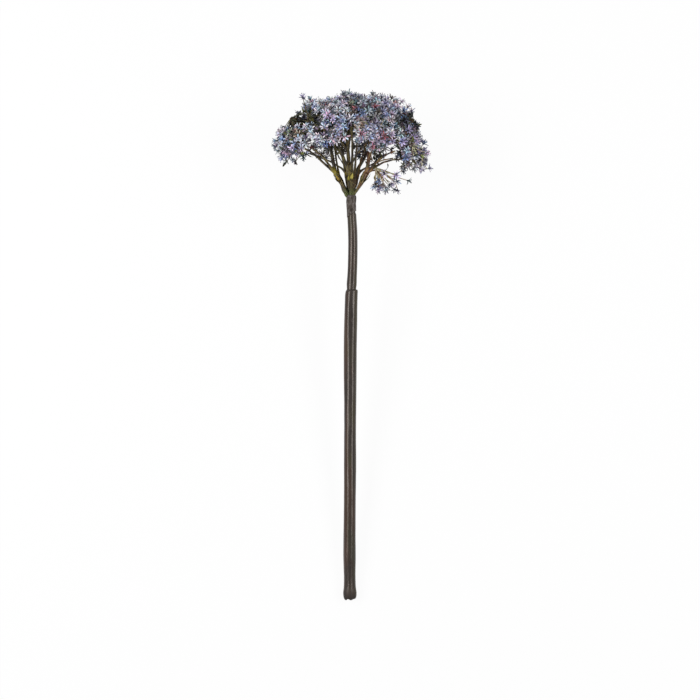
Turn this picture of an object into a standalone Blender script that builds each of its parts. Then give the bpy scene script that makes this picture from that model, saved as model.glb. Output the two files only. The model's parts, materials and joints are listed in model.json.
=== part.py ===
"""Artificial trachelium on a stiff coated stem, lying on a flat surface.

The stem is two coated lengths plugged together. A wrap at its top gathers the feet of six moulded sprays.
Every ray of a spray carries an umbellet: a small hub, fifteen pedicels and a starry floret on each of them.

Flower frame: X to the right, Y along the stem from the cut end to the head, Z out of the flower's front.
An empty then lays the whole flower down on its back, with its lowest points on the plane Z = 0.
"""

import itertools
import math
import random

import bmesh
import bpy
import numpy as np
from mathutils import Matrix, Vector
from mathutils.bvhtree import BVHTree
from mathutils.geometry import interpolate_bezier

MM = 0.001
SEED = 12
GAP = 0.3 * MM  # between pieces that touch on the real flower

# Stem, in millimetres from the cut end
SIDES = 12
JOINT_AT = 309.5
PLUG_DEPTH = 30.0
SOCKET_RADIUS = 4.8
WRAP_FROM = 387.5
WRAP_TO = 403.5
WRAP_BORE = 4.05
UPPER_STEM_TOP = 393.0
STEM_BOW = (  # distance from the cut end, sideways offset of the centreline
    (0.0, -1.4),
    (40.0, -1.8),
    (110.0, -1.4),
    (200.0, -1.1),
    (262.0, -0.9),
    (309.5, 0.2),
    (335.0, 1.3),
    (365.0, 1.4),
    (390.0, 0.2),
    (420.0, 0.0),
)
LOWER_STEM = (  # distance from the cut end, radius
    (0.0, 4.7),
    (1.8, 6.2),
    (5.0, 6.7),
    (11.0, 6.2),
    (45.0, 6.15),
    (90.0, 6.05),
    (140.0, 6.0),
    (190.0, 6.1),
    (235.0, 6.4),
    (275.0, 6.45),
    (300.0, 6.25),
    (JOINT_AT, 6.3),
    (JOINT_AT, SOCKET_RADIUS),
    (JOINT_AT - PLUG_DEPTH, SOCKET_RADIUS),
)
UPPER_STEM = (
    (JOINT_AT - PLUG_DEPTH + 0.3, 4.4),
    (JOINT_AT, 4.4),
    (314.0, 4.75),
    (322.0, 4.55),
    (345.0, 4.5),
    (368.0, 4.45),
    (380.0, 4.2),
    (WRAP_FROM - 0.3, 4.1),
    (WRAP_FROM - 0.3, 3.7),
    (UPPER_STEM_TOP, 3.7),
)
WRAP = (
    (WRAP_FROM, WRAP_BORE),
    (WRAP_FROM, 4.5),
    (393.0, 4.65),
    (399.0, 5.1),
    (402.0, 4.95),
    (WRAP_TO, 4.5),
    (WRAP_TO, WRAP_BORE),
)

# Dome of the head: semi-axes of its outer surface and of the surface that the hubs lie on
DOME_CENTRE = Vector((0.0, WRAP_TO + 46.0, 0.0)) * MM
DOME = Vector((78.0, 53.0, 70.0)) * MM
HUB_DOME = Vector((55.5, 35.5, 49.5)) * MM
TOP_POLAR = 31.0
SHOULDER_SHARE = 0.47  # where the shoulder lies on the way from the top ring to the rim
RIM_POLAR = 80.0
SIDE_DROOP = 21.0  # how much further the rim hangs at the two sides
LEAN = 5.0  # how much more it hangs at the right than at the left

# Sprays
SIDE_SPRAYS = 5
SPRAY_STEP = 360.0 / SIDE_SPRAYS
FIRST_SPRAY = 90.0  # azimuth, which is counted from X to Z
FOOT = UPPER_STEM_TOP - WRAP_TO + 0.3
CORE_LINE = (  # distance from the axis, height above the wrap, radius
    (0.0, FOOT, 0.95),
    (0.0, 1.0, 0.95),
    (0.2, 8.0, 1.9),
    (1.2, 30.0, 2.0),
    (0.9, 55.0, 1.6),
)
STALK_LINE = (  # the same for the five sprays round the core
    (2.5, FOOT, 1.25),
    (2.5, 0.2, 1.25),
    (4.9, 4.5, 2.2),
    (9.6, 13.5, 3.4),
    (14.8, 22.0, 3.9),
)
FORK = (14.2, 21.0)
UPPER_FORK = (20.0, 41.0)
LIMB_RADII = (2.5 * MM, 2.3 * MM)
RIM_RAY = 2.0 * MM  # radii of the rays at their root
UPPER_RAY = 1.9 * MM
LOW_RAY = 1.8 * MM
RAY_TIP = 1.2 * MM
RAY_EASE = 0.38  # how much of its length a ray takes to turn away from its fork
RAY_STEPS = 5
RAY_SIDES = 6
RAY_TURN = 0.35  # how far the sections of a ray are turned, in radians
LOW_HUB = (30.0, 23.0, 26.0)  # the umbellet that hangs lowest: distance from the axis, height, azimuth
LOW_HUB_SPRAY = 4
LOW_HUB_DIP = 38.0  # how far its axis points below the level, in degrees

# Umbellets
HUB_RADIUS = 1.9 * MM
RING = 5  # corners of each ring of the hub
PEDICELS = 3 * RING
HUB_TURNS = 9
INNER_FAN = 17.0  # how far the pedicels lean from the umbellet's axis, in degrees
OUTER_FAN = 36.0
FAN_REACH = 25.0 * MM
UMBELLET_DEPTH = (0.95, 1.0)  # how deep in the dome an umbellet's florets lie, as a part of its semi-axes
FLORET_DEPTH = (0.98, 1.0)
FLORET_SPACING = 8.9 * MM
SPREAD_ROUNDS = 60
SPREAD_STEP = 0.25
PEDICEL_RADIUS = 0.5 * MM
FLORET_LOBES = 5
FLORET_RADIUS = 3.8 * MM
FLORET_WAIST = 1.5 * MM
FLORET_CUP = 1.2 * MM
FLORET_NECK = 1.6 * MM

SETTLING_ROUNDS = 4

COLOURS = {  # colour, roughness
    "stem_coating": ((0.085, 0.078, 0.070), 0.45),
    "wrap_tape": ((0.095, 0.082, 0.072), 0.6),
    "spray_plastic": ((0.115, 0.085, 0.040), 0.5),
    "floret_plastic": ((0.26, 0.25, 0.34), 0.65),
}


def material(name):
    """One of the flower's four plain materials."""
    found = bpy.data.materials.get(name)
    if found:
        return found
    colour, roughness = COLOURS[name]
    made = bpy.data.materials.new(name)
    made.use_nodes = True
    shader = made.node_tree.nodes["Principled BSDF"]
    shader.inputs["Base Color"].default_value = (*colour, 1.0)
    shader.inputs["Roughness"].default_value = roughness
    return made


def add_object(name, solid, finish, flower):
    """Links a piece into the scene as a child of the flower."""
    mesh = bpy.data.meshes.new(name)
    solid.to_mesh(mesh)
    solid.free()
    mesh.materials.append(material(finish))
    mesh.shade_smooth()
    mesh.set_sharp_from_angle(angle=math.radians(40))
    piece = bpy.data.objects.new(name, mesh)
    bpy.context.scene.collection.objects.link(piece)
    piece.parent = flower
    return piece


def smooth_through(knots, at):
    """The value at a place between knots of (place, value), on a curve with no corners."""
    last = len(knots) - 2
    i = max(0, min(last, next((k for k in range(last + 1) if at <= knots[k + 1][0]), last)))
    (x0, y0), (x1, y1) = knots[i], knots[i + 1]
    before = knots[max(0, i - 1)]
    after = knots[min(last + 1, i + 2)]
    slope_0 = (y1 - before[1]) / (x1 - before[0])
    slope_1 = (after[1] - y0) / (after[0] - x0)
    t = (at - x0) / (x1 - x0)
    run = x1 - x0
    return (
        (1 + 2 * t) * (1 - t) ** 2 * y0
        + t * (1 - t) ** 2 * run * slope_0
        + t * t * (3 - 2 * t) * y1
        + t * t * (t - 1) * run * slope_1
    )


def on_centreline(at):
    """The point of the stem's centreline at a distance from the cut end, in millimetres."""
    return Vector((smooth_through(STEM_BOW, at), at, 0.0)) * MM


def square_to(direction):
    """Two directions square to a direction and to each other, turning right-handed about it."""
    spare = Vector((0, 1, 0)) if abs(direction.y) < 0.9 else Vector((0, 0, 1))
    first = (spare - direction * spare.dot(direction)).normalized()
    return first, direction.cross(first)


def loft(rings):
    """A closed solid through rings of points that all turn the same way."""
    solid = bmesh.new()
    rows = [[solid.verts.new(point) for point in ring] for ring in rings]
    count = len(rows[0])
    for low, high in zip(rows, rows[1:]):
        for i in range(count):
            j = (i + 1) % count
            solid.faces.new((low[i], low[j], high[j], high[i]))
    solid.faces.new(rows[0][::-1])
    solid.faces.new(rows[-1])
    bmesh.ops.recalc_face_normals(solid, faces=solid.faces)
    return solid


def turned_on_stem(outline):
    """A solid of round sections on the stem's centreline, from its outline of (distance, radius)."""
    rings = []
    for at, radius in outline:
        centre = on_centreline(at)
        along = (on_centreline(at + 0.5) - on_centreline(at - 0.5)).normalized()
        right, front = square_to(along)
        ring = []
        for i in range(SIDES):
            turn = math.tau * i / SIDES
            ring.append(centre + (right * math.cos(turn) + front * math.sin(turn)) * radius * MM)
        rings.append(ring)
    return loft(rings)


def ring_solid(outline):
    """A sleeve on the stem's centreline: its outline is closed on itself, so it has no end caps."""
    solid = turned_on_stem(outline)
    caps = [face for face in solid.faces if len(face.verts) == SIDES]
    bmesh.ops.delete(solid, geom=caps, context="FACES_ONLY")
    edges = [edge for edge in solid.edges if edge.is_boundary]
    bmesh.ops.bridge_loops(solid, edges=edges)
    bmesh.ops.recalc_face_normals(solid, faces=solid.faces)
    return solid


def tube(line, radii):
    """A tapering round rod along a line, with flat ends square to it."""
    rings = []
    right = None
    for i, centre in enumerate(line):
        along = (line[min(i + 1, len(line) - 1)] - line[max(i - 1, 0)]).normalized()
        if right is None:
            right = square_to(along)[0]
        right = (right - along * right.dot(along)).normalized()
        front = along.cross(right)
        ring = []
        for k in range(RAY_SIDES):
            turn = math.tau * k / RAY_SIDES + RAY_TURN
            ring.append(centre + (right * math.cos(turn) + front * math.sin(turn)) * radii[i])
        rings.append(ring)
    return loft(rings)


def bent_rod(start, heading, end, arriving, radii, steps):
    """A rod that leaves start along heading and reaches end along arriving."""
    reach = (end - start).length * RAY_EASE
    line = interpolate_bezier(start, start + heading * reach, end - arriving * reach, end, steps)
    ends = [radii[0] + (radii[1] - radii[0]) * i / (steps - 1) for i in range(steps)]
    return tube([Vector(point) for point in line], ends)


def united(solids):
    """One solid out of several that overlap."""
    pieces = []
    operands = bpy.data.collections.new("operands")
    bpy.context.scene.collection.children.link(operands)
    for solid in solids:
        mesh = bpy.data.meshes.new("operand")
        solid.to_mesh(mesh)
        solid.free()
        pieces.append(bpy.data.objects.new("operand", mesh))
    bpy.context.scene.collection.objects.link(pieces[0])
    for piece in pieces[1:]:
        operands.objects.link(piece)
    union = pieces[0].modifiers.new("Union", "BOOLEAN")
    union.operation = "UNION"
    union.operand_type = "COLLECTION"
    union.collection = operands
    bpy.context.view_layer.update()
    graph = bpy.context.evaluated_depsgraph_get()
    solid = bmesh.new()
    solid.from_object(pieces[0], graph)
    for piece in pieces:
        bpy.data.objects.remove(piece)
    bpy.data.collections.remove(operands)
    return solid


def on_dome(polar, azimuth, reach):
    """The point of a dome at two angles in degrees: polar from the stem's axis, azimuth from X to Z."""
    p, a = math.radians(polar), math.radians(azimuth)
    way = Vector((math.sin(p) * math.cos(a), math.cos(p), math.sin(p) * math.sin(a)))
    return DOME_CENTRE + Vector((way.x * reach.x, way.y * reach.y, way.z * reach.z))


def facing(place):
    """The direction square to the dome at a place on it or under it."""
    off = place - DOME_CENTRE
    return Vector((off.x / DOME.x**2, off.y / DOME.y**2, off.z / DOME.z**2)).normalized()


def rim_polar(azimuth):
    """The rim hangs lower at the two sides, and lower at the right than at the left."""
    side = math.cos(math.radians(azimuth))
    return RIM_POLAR + SIDE_DROOP * side * side + LEAN * side


def shoulder_polar(azimuth):
    """The shoulder follows the rim."""
    return TOP_POLAR + SHOULDER_SHARE * (rim_polar(azimuth) - TOP_POLAR)


def at_height(radius, height, azimuth):
    """The point at a distance from the head's axis and a height above the wrap, in millimetres."""
    a = math.radians(azimuth)
    return Vector((radius * math.cos(a), WRAP_TO + height, radius * math.sin(a))) * MM


def hub_frame(hub, axis):
    """The umbellet's own frame: its hub at the origin, its axis along Z."""
    right, front = square_to(axis)
    return Matrix.Translation(hub) @ Matrix((right, front, axis)).transposed().to_4x4()


def ray_end(hub, axis):
    """Where the ray that carries a hub ends, just short of the hub's flat foot."""
    return hub - axis * (HUB_RADIUS / math.sqrt(5) + GAP)


def dome_umbellet(polar, azimuth, root, heading, ray_radius):
    """An umbellet that faces straight out of the dome: its hub, its facing and the ray that carries it."""
    hub = on_dome(polar, azimuth, HUB_DOME)
    return hub, facing(hub), root, heading, ray_radius


def low_umbellet(root, heading):
    """The umbellet that hangs below the rim."""
    dip, azimuth = math.radians(LOW_HUB_DIP), math.radians(LOW_HUB[2])
    way = Vector((math.cos(dip) * math.cos(azimuth), -math.sin(dip), math.cos(dip) * math.sin(azimuth)))
    return at_height(*LOW_HUB), way, root, heading, LOW_RAY


def spray(index):
    """The solid of one spray, and the frames of the umbellets on its rays."""
    azimuth = FIRST_SPRAY + SPRAY_STEP * index
    lean = azimuth + SPRAY_STEP / 8
    turn = (lean - azimuth) / (len(STALK_LINE) - 1)
    line = [at_height(r, h, azimuth + turn * i) for i, (r, h, _) in enumerate(STALK_LINE)]
    stalk = tube(line, [radius * MM for _, _, radius in STALK_LINE])
    fork = at_height(*FORK, lean)
    upper_fork = at_height(*UPPER_FORK, lean)
    rising = (line[-1] - line[-2]).normalized()
    steep = (upper_fork - fork).normalized()
    limb = bent_rod(fork, steep, upper_fork + steep * MM, steep, LIMB_RADII, 3)
    half, quarter = SPRAY_STEP / 2, SPRAY_STEP / 4
    carried = [
        dome_umbellet(rim_polar(azimuth - quarter), azimuth - quarter, fork, rising, RIM_RAY),
        dome_umbellet(rim_polar(azimuth + quarter), azimuth + quarter, fork, rising, RIM_RAY),
        dome_umbellet(shoulder_polar(azimuth), azimuth, upper_fork, steep, UPPER_RAY),
        dome_umbellet(shoulder_polar(azimuth + half), azimuth + half, upper_fork, steep, UPPER_RAY),
        dome_umbellet(TOP_POLAR, azimuth + quarter, upper_fork, steep, UPPER_RAY),
    ]
    if index == LOW_HUB_SPRAY:
        carried.append(low_umbellet(fork, rising))
    rays, frames = [], []
    for hub, way, root, heading, ray_radius in carried:
        reach = (hub - root).normalized()
        axis = (way + reach).normalized()
        start = (heading + reach).normalized()
        rays.append(bent_rod(root, start, ray_end(hub, axis), axis, (ray_radius, RAY_TIP), RAY_STEPS))
        frames.append(hub_frame(hub, axis))
    return united([stalk, limb, *rays]), frames


def core_spray():
    """The slender straight spray in the middle, which carries the crown's umbellet."""
    hub = on_dome(0.0, 0.0, HUB_DOME)
    axis = Vector((0, 1, 0))
    line = [at_height(distance, height, 0.0) for distance, height, _ in CORE_LINE]
    radii = [radius * MM for _, _, radius in CORE_LINE]
    return tube([*line, ray_end(hub, axis)], [*radii, RAY_TIP]), hub_frame(hub, axis)


def zip_rings(solid, small, large):
    """Closes the band between two rings of unlike counts that turn the same way from the same start."""
    ratio = len(small) / len(large)
    near = [round(i * ratio) % len(small) for i in range(len(large))]
    for i, corner in enumerate(large):
        j = (i + 1) % len(large)
        solid.faces.new((small[near[i]], large[j], corner)[::-1])
        if near[i] != near[j]:
            solid.faces.new((small[near[i]], small[near[j]], large[j]))


def add_floret(solid, foot, tip):
    """Grows a pedicel from a triangle of the hub to a tip, and a starry floret on its end."""
    toward = facing(tip)
    right, front = square_to(toward)
    middle = sum((corner.co for corner in foot), Vector()) / 3
    aligned = Vector((0, 0))
    for i, corner in enumerate(foot):
        off = corner.co - middle
        aligned += Matrix.Rotation(-math.tau * i / 3, 2) @ Vector((off.dot(right), off.dot(front)))
    phase = math.atan2(aligned.y, aligned.x)

    def around(radius, turn, lift):
        return tip + (right * math.cos(turn) + front * math.sin(turn)) * radius + toward * lift

    neck = []
    for i in range(3):
        neck.append(solid.verts.new(around(PEDICEL_RADIUS, phase + math.tau * i / 3, -FLORET_NECK)))
    for i in range(3):
        j = (i + 1) % 3
        solid.faces.new((foot[i], foot[j], neck[j], neck[i]))
    star = []
    for i in range(2 * FLORET_LOBES):
        turn = phase + math.pi * i / FLORET_LOBES
        lobe = i % 2 == 0
        radius = FLORET_RADIUS if lobe else FLORET_WAIST
        star.append(solid.verts.new(around(radius, turn, FLORET_CUP if lobe else 0.0)))
    zip_rings(solid, neck, star)
    heart = solid.verts.new(around(0.0, 0.0, FLORET_CUP / 3))
    for i, corner in enumerate(star):
        solid.faces.new((corner, star[(i + 1) % len(star)], heart))


def fan():
    """The directions of one umbellet's pedicels before they spread, in the order of the hub's faces."""
    ways = []
    for i in range(RING):
        for angle, step in ((INNER_FAN, i + 0.5), (OUTER_FAN, i), (OUTER_FAN, i + 0.5)):
            tilt = math.radians(angle)
            turn = math.tau * step / RING
            aside = Vector((math.cos(turn), math.sin(turn), 0.0)) * math.sin(tilt)
            ways.append(aside + Vector((0.0, 0.0, math.cos(tilt))))
    return ways


def spread(tips, drawn):
    """Moves crowded florets apart over the dome, each at its own depth."""
    semi_axes = np.array(DOME)
    places = np.array(tips) - np.array(DOME_CENTRE)
    shared = np.repeat([drawn.uniform(*UMBELLET_DEPTH) for _ in tips[::PEDICELS]], PEDICELS)
    depth = (shared * [drawn.uniform(*FLORET_DEPTH) for _ in tips])[:, None]
    for _ in range(SPREAD_ROUNDS):
        places *= depth / np.linalg.norm(places / semi_axes, axis=1, keepdims=True)
        apart = places[:, None] - places[None]
        distance = np.linalg.norm(apart, axis=2) + np.eye(len(tips))
        crowding = np.clip(FLORET_SPACING / distance - 1, 0, None) * (distance < FLORET_SPACING)
        crowding[np.diag_indices(len(tips))] = 0
        places += SPREAD_STEP * (apart * crowding[..., None]).sum(axis=1)
    places *= depth / np.linalg.norm(places / semi_axes, axis=1, keepdims=True)
    return [DOME_CENTRE + Vector(place) for place in places]


def uncrossed(frame, tips):
    """The tips in the order of the hub's faces, and how far the pedicels then bend in all.

    Two tips change places whenever that straightens their pedicels.
    """
    home = frame.inverted()
    ordered = [(tip, (home @ tip).normalized()) for tip in tips]
    ways = fan()
    swapped = True
    while swapped:
        swapped = False
        for a, b in itertools.combinations(range(PEDICELS), 2):
            if (ways[a] - ways[b]).dot(ordered[b][1] - ordered[a][1]) > 1e-6:
                ordered[a], ordered[b] = ordered[b], ordered[a]
                swapped = True
    bend = sum((way - towards).length_squared for way, (_, towards) in zip(ways, ordered))
    return bend, [tip for tip, _ in ordered]


def suited(frame, tips):
    """The hub turned about its axis so that its faces suit the tips, and the tips in the faces' order."""
    options = []
    for i in range(HUB_TURNS):
        turned = frame @ Matrix.Rotation(math.tau * i / (RING * HUB_TURNS), 4, "Z")
        options.append((*uncrossed(turned, tips), turned))
    _, ordered, turned = min(options, key=lambda option: option[0])
    return turned, ordered


def umbellet(frame, tips):
    """A hub, which is an icosahedron with its lowest corner cut off, and a floret on each of its faces."""
    frame, tips = suited(frame, tips)
    solid = bmesh.new()
    level, wide = HUB_RADIUS / math.sqrt(5), HUB_RADIUS * 2 / math.sqrt(5)
    peak = solid.verts.new(frame @ Vector((0, 0, HUB_RADIUS)))
    upper, lower = [], []
    for i in range(RING):
        turn = math.tau * i / RING
        upper.append(solid.verts.new(frame @ Vector((wide * math.cos(turn), wide * math.sin(turn), level))))
        turn -= math.pi / RING
        lower.append(solid.verts.new(frame @ Vector((wide * math.cos(turn), wide * math.sin(turn), -level))))
    solid.faces.new(lower[::-1])
    tips = iter(tips)
    for i in range(RING):
        j = (i + 1) % RING
        add_floret(solid, (upper[i], upper[j], peak), next(tips))
        add_floret(solid, (lower[i], lower[j], upper[i]), next(tips))
        add_floret(solid, (upper[i], lower[j], upper[j]), next(tips))
    bmesh.ops.recalc_face_normals(solid, faces=solid.faces)
    return solid


def all_corners(pieces):
    """Every corner of the pieces, in the flower frame, and the centre of their volume."""
    corners, volume, moment = [], 0.0, Vector()
    for piece in pieces:
        shape = bmesh.new()
        shape.from_mesh(piece.data)
        bmesh.ops.triangulate(shape, faces=shape.faces)
        corners += [corner.co.copy() for corner in shape.verts]
        for face in shape.faces:
            a, b, c = (corner.co for corner in face.verts)
            share = a.dot(b.cross(c)) / 6
            volume += share
            moment += share * (a + b + c) / 4
        shape.free()
    return corners, moment / volume


def lay_down(flower, pieces):
    """Turns the flower onto the three points that it rests on, with the middle of its box over the origin."""
    corners, balance = all_corners(pieces)
    hull = bmesh.new()
    for corner in corners:
        hull.verts.new(corner)
    bmesh.ops.convex_hull(hull, input=hull.verts)
    tree = BVHTree.FromBMesh(hull)
    down = Vector((0, 0, -1))
    for _ in range(SETTLING_ROUNDS):
        _, underside, _, _ = tree.ray_cast(balance, down)
        down = underside if underside.dot(down) > 0 else -underside
    hull.free()
    turn = down.rotation_difference(Vector((0, 0, -1))).to_matrix().to_4x4()
    laid = [turn @ corner for corner in corners]
    low = Vector([min(corner[k] for corner in laid) for k in range(3)])
    high = Vector([max(corner[k] for corner in laid) for k in range(3)])
    middle = (low + high) / 2
    flower.matrix_world = Matrix.Translation((-middle.x, -middle.y, -low.z)) @ turn


def build():
    for old in list(bpy.data.objects):
        bpy.data.objects.remove(old)
    flower = bpy.data.objects.new("flower", None)
    bpy.context.scene.collection.objects.link(flower)
    pieces = [
        add_object("lower_stem", turned_on_stem(LOWER_STEM), "stem_coating", flower),
        add_object("upper_stem", turned_on_stem(UPPER_STEM), "stem_coating", flower),
        add_object("stem_wrap", ring_solid(WRAP), "wrap_tape", flower),
    ]
    umbellets = []
    for index in range(SIDE_SPRAYS):
        solid, carried = spray(index)
        pieces.append(add_object(f"spray_{index + 1}", solid, "spray_plastic", flower))
        umbellets += carried
    solid, crown = core_spray()
    pieces.append(add_object("spray_core", solid, "spray_plastic", flower))
    umbellets.append(crown)
    drawn = random.Random(SEED)
    tips = spread([frame @ (way * FAN_REACH) for frame in umbellets for way in fan()], drawn)
    for number, frame in enumerate(umbellets):
        solid = umbellet(frame, tips[PEDICELS * number : PEDICELS * (number + 1)])
        pieces.append(add_object(f"umbellet_{number + 1:02d}", solid, "floret_plastic", flower))
    lay_down(flower, pieces)


build()
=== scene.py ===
# %% [markdown]
# # An artificial trachelium flower stem
# The real object is a moulded stem in two lengths that plug together, a wrap of tape, six sprays of
# rays that fan out of the wrap, and a dome of hundreds of small starry florets on thin pedicels.
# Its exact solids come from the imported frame. This lesson dresses them: each step says what the
# piece is, how it could be made, and why it is made this way.

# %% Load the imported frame
import json
import math
import random

import bmesh
import bpy
import numpy as np
from mathutils import Matrix, Vector, noise

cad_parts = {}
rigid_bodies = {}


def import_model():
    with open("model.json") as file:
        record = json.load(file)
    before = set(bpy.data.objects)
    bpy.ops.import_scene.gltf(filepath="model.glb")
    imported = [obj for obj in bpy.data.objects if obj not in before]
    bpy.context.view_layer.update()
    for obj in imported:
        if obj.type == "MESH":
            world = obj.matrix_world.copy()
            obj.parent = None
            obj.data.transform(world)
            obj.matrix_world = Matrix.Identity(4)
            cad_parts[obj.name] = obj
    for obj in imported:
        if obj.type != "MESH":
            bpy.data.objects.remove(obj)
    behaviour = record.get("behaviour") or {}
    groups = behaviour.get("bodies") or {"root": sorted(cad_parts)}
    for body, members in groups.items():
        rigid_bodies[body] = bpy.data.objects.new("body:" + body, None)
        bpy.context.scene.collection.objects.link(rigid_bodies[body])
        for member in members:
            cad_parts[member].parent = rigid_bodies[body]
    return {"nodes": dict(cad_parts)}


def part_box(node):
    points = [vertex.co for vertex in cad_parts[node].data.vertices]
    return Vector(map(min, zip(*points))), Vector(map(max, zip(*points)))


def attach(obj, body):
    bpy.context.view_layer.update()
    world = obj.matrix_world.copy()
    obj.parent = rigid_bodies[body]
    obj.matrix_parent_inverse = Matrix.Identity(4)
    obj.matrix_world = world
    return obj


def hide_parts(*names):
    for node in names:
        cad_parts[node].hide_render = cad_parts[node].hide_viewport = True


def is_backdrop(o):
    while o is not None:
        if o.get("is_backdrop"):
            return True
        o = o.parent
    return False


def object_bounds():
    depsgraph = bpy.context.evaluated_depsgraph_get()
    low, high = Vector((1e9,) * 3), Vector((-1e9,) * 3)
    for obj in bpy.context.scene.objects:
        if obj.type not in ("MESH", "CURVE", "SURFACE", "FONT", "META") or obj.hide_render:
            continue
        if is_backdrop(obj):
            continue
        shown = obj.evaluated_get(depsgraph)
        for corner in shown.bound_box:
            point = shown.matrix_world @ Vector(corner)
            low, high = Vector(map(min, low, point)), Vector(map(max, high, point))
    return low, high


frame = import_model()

cad_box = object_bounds()
MM = 0.001

# %% [markdown]
# ## Finding the flower's own axes
# The flower lies on a surface, so its stem is neither level nor square to the world. Every later
# step is easier in the flower's own frame: X to its right, Y along the stem from the cut end to the
# head, Z out of its front. The solids hold that frame. The middles of the stem's section rings all
# lie in one plane, because the stem bows only sideways, and the line from its cut end to the top of
# the wrap is Y. Measuring beats repeating numbers, because it stays true when the solids change.

# %% Read the stem's section rings
WELD = 1e-6
RING_GAP = 0.5 * MM
CUT_END_OFFSET = 1.4 * MM  # the cut end lies this far to the left of the flower's axis


def merged(name):
    """A copy of a CAD node with its loose triangles joined at their corners."""
    solid = bmesh.new()
    solid.from_mesh(frame["nodes"][name].data)
    bmesh.ops.remove_doubles(solid, verts=solid.verts, dist=WELD)
    solid.normal_update()
    return solid


def corners_of(name):
    """The corners of a CAD node as rows of an array."""
    solid = merged(name)
    corners = np.array([corner.co for corner in solid.verts])
    solid.free()
    return corners


def rings_along(corners, axis):
    """The corners in groups, one for each ring across the axis."""
    height = corners @ axis
    order = np.argsort(height)
    breaks = np.flatnonzero(np.diff(height[order]) > RING_GAP) + 1
    return [corners[group] for group in np.split(order, breaks)]


def main_ways(places):
    """The three directions in which places spread, the widest first."""
    return np.linalg.svd(places - places.mean(0), full_matrices=False)[2]


lower_corners = corners_of("lower_stem")
along = main_ways(lower_corners)[0]
head_middle = sum(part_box("umbellet_27"), Vector()) / 2
along *= np.sign(along @ (np.array(head_middle) - lower_corners.mean(0)))
stem_rings = []
for name in ("lower_stem", "upper_stem", "stem_wrap"):
    stem_rings += rings_along(corners_of(name), along)
middles = np.array(sorted((ring.mean(0) for ring in stem_rings), key=lambda middle: middle @ along))
front_way = Vector(main_ways(middles)[2])
if front_way.z < 0:
    front_way.negate()
cut_end, wrap_top = Vector(middles[0]), Vector(middles[-1])
cut_middle = cut_end + (wrap_top - cut_end).cross(front_way).normalized() * CUT_END_OFFSET
stem_way = (wrap_top - cut_middle).normalized()
side_way = stem_way.cross(front_way).normalized()
flower = Matrix((side_way, stem_way, front_way)).transposed().to_4x4()
flower.translation = cut_middle
flower_turn = flower.to_3x3()
to_flower = flower.inverted()
print("stem tilts", round(math.degrees(math.asin(stem_way.z)), 2), "degrees, rings", len(middles))

# %% [markdown]
# ## Camera, lamps and floor
# The flower was seen square to its stem from the front, with a long lens. It lies down here, so the
# camera looks down on it along the flower's own Z. Two tall soft lamps stand to its left and right,
# which draws the two pale bands that run down a smooth stem, and they reach past the head but not
# past the cut end, so the bands fade there. A weak sky fills in the rest. To the camera the floor is
# nearly all glow, so it stays white and keeps a faint shadow.

# %% Place the camera
CAMERA_REACH = 1.5
CAMERA_CLIP = (0.05, 50.0)
SENSOR = 36.0
FRAME_WIDE = 0.700
FRAME_MIDDLE = Vector((-1.35, 249.0, 0.0)) * MM


def in_scene(name, data):
    """A new object, linked into the scene."""
    made = bpy.data.objects.new(name, data)
    bpy.context.scene.collection.objects.link(made)
    return made


camera_data = bpy.data.cameras.new("camera")
camera_data.sensor_width = SENSOR
camera_data.lens = SENSOR * CAMERA_REACH / FRAME_WIDE
camera_data.clip_start, camera_data.clip_end = CAMERA_CLIP
camera = in_scene("camera", camera_data)
camera_seat = flower_turn.to_4x4()
camera_seat.translation = flower @ (FRAME_MIDDLE + Vector((0.0, 0.0, CAMERA_REACH)))
camera.matrix_world = camera_seat
bpy.context.scene.camera = camera
print("camera at", [round(value, 3) for value in camera_seat.translation])

# %% [markdown]
# ### A small helper for node trees
# Shader and geometry trees share many nodes, so one class writes both. `node` takes a node's type,
# its socket values and its settings. A `Wire` wraps an output socket and joins in plain arithmetic,
# which keeps the maths of a finish readable.

# %% Node trees written as expressions


class Wire:
    """An output socket that joins in sums, differences and products like a number."""

    def __init__(self, tree, socket):
        self.tree = tree
        self.socket = socket

    def beside(self, name):
        """Another output of the same node."""
        return Wire(self.tree, self.socket.node.outputs[name])

    def __add__(self, other):
        return self.tree.maths("ADD", self, other)

    def __sub__(self, other):
        return self.tree.maths("SUBTRACT", self, other)

    def __rsub__(self, other):
        return self.tree.maths("SUBTRACT", other, self)

    def __mul__(self, other):
        return self.tree.maths("MULTIPLY", self, other)


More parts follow.
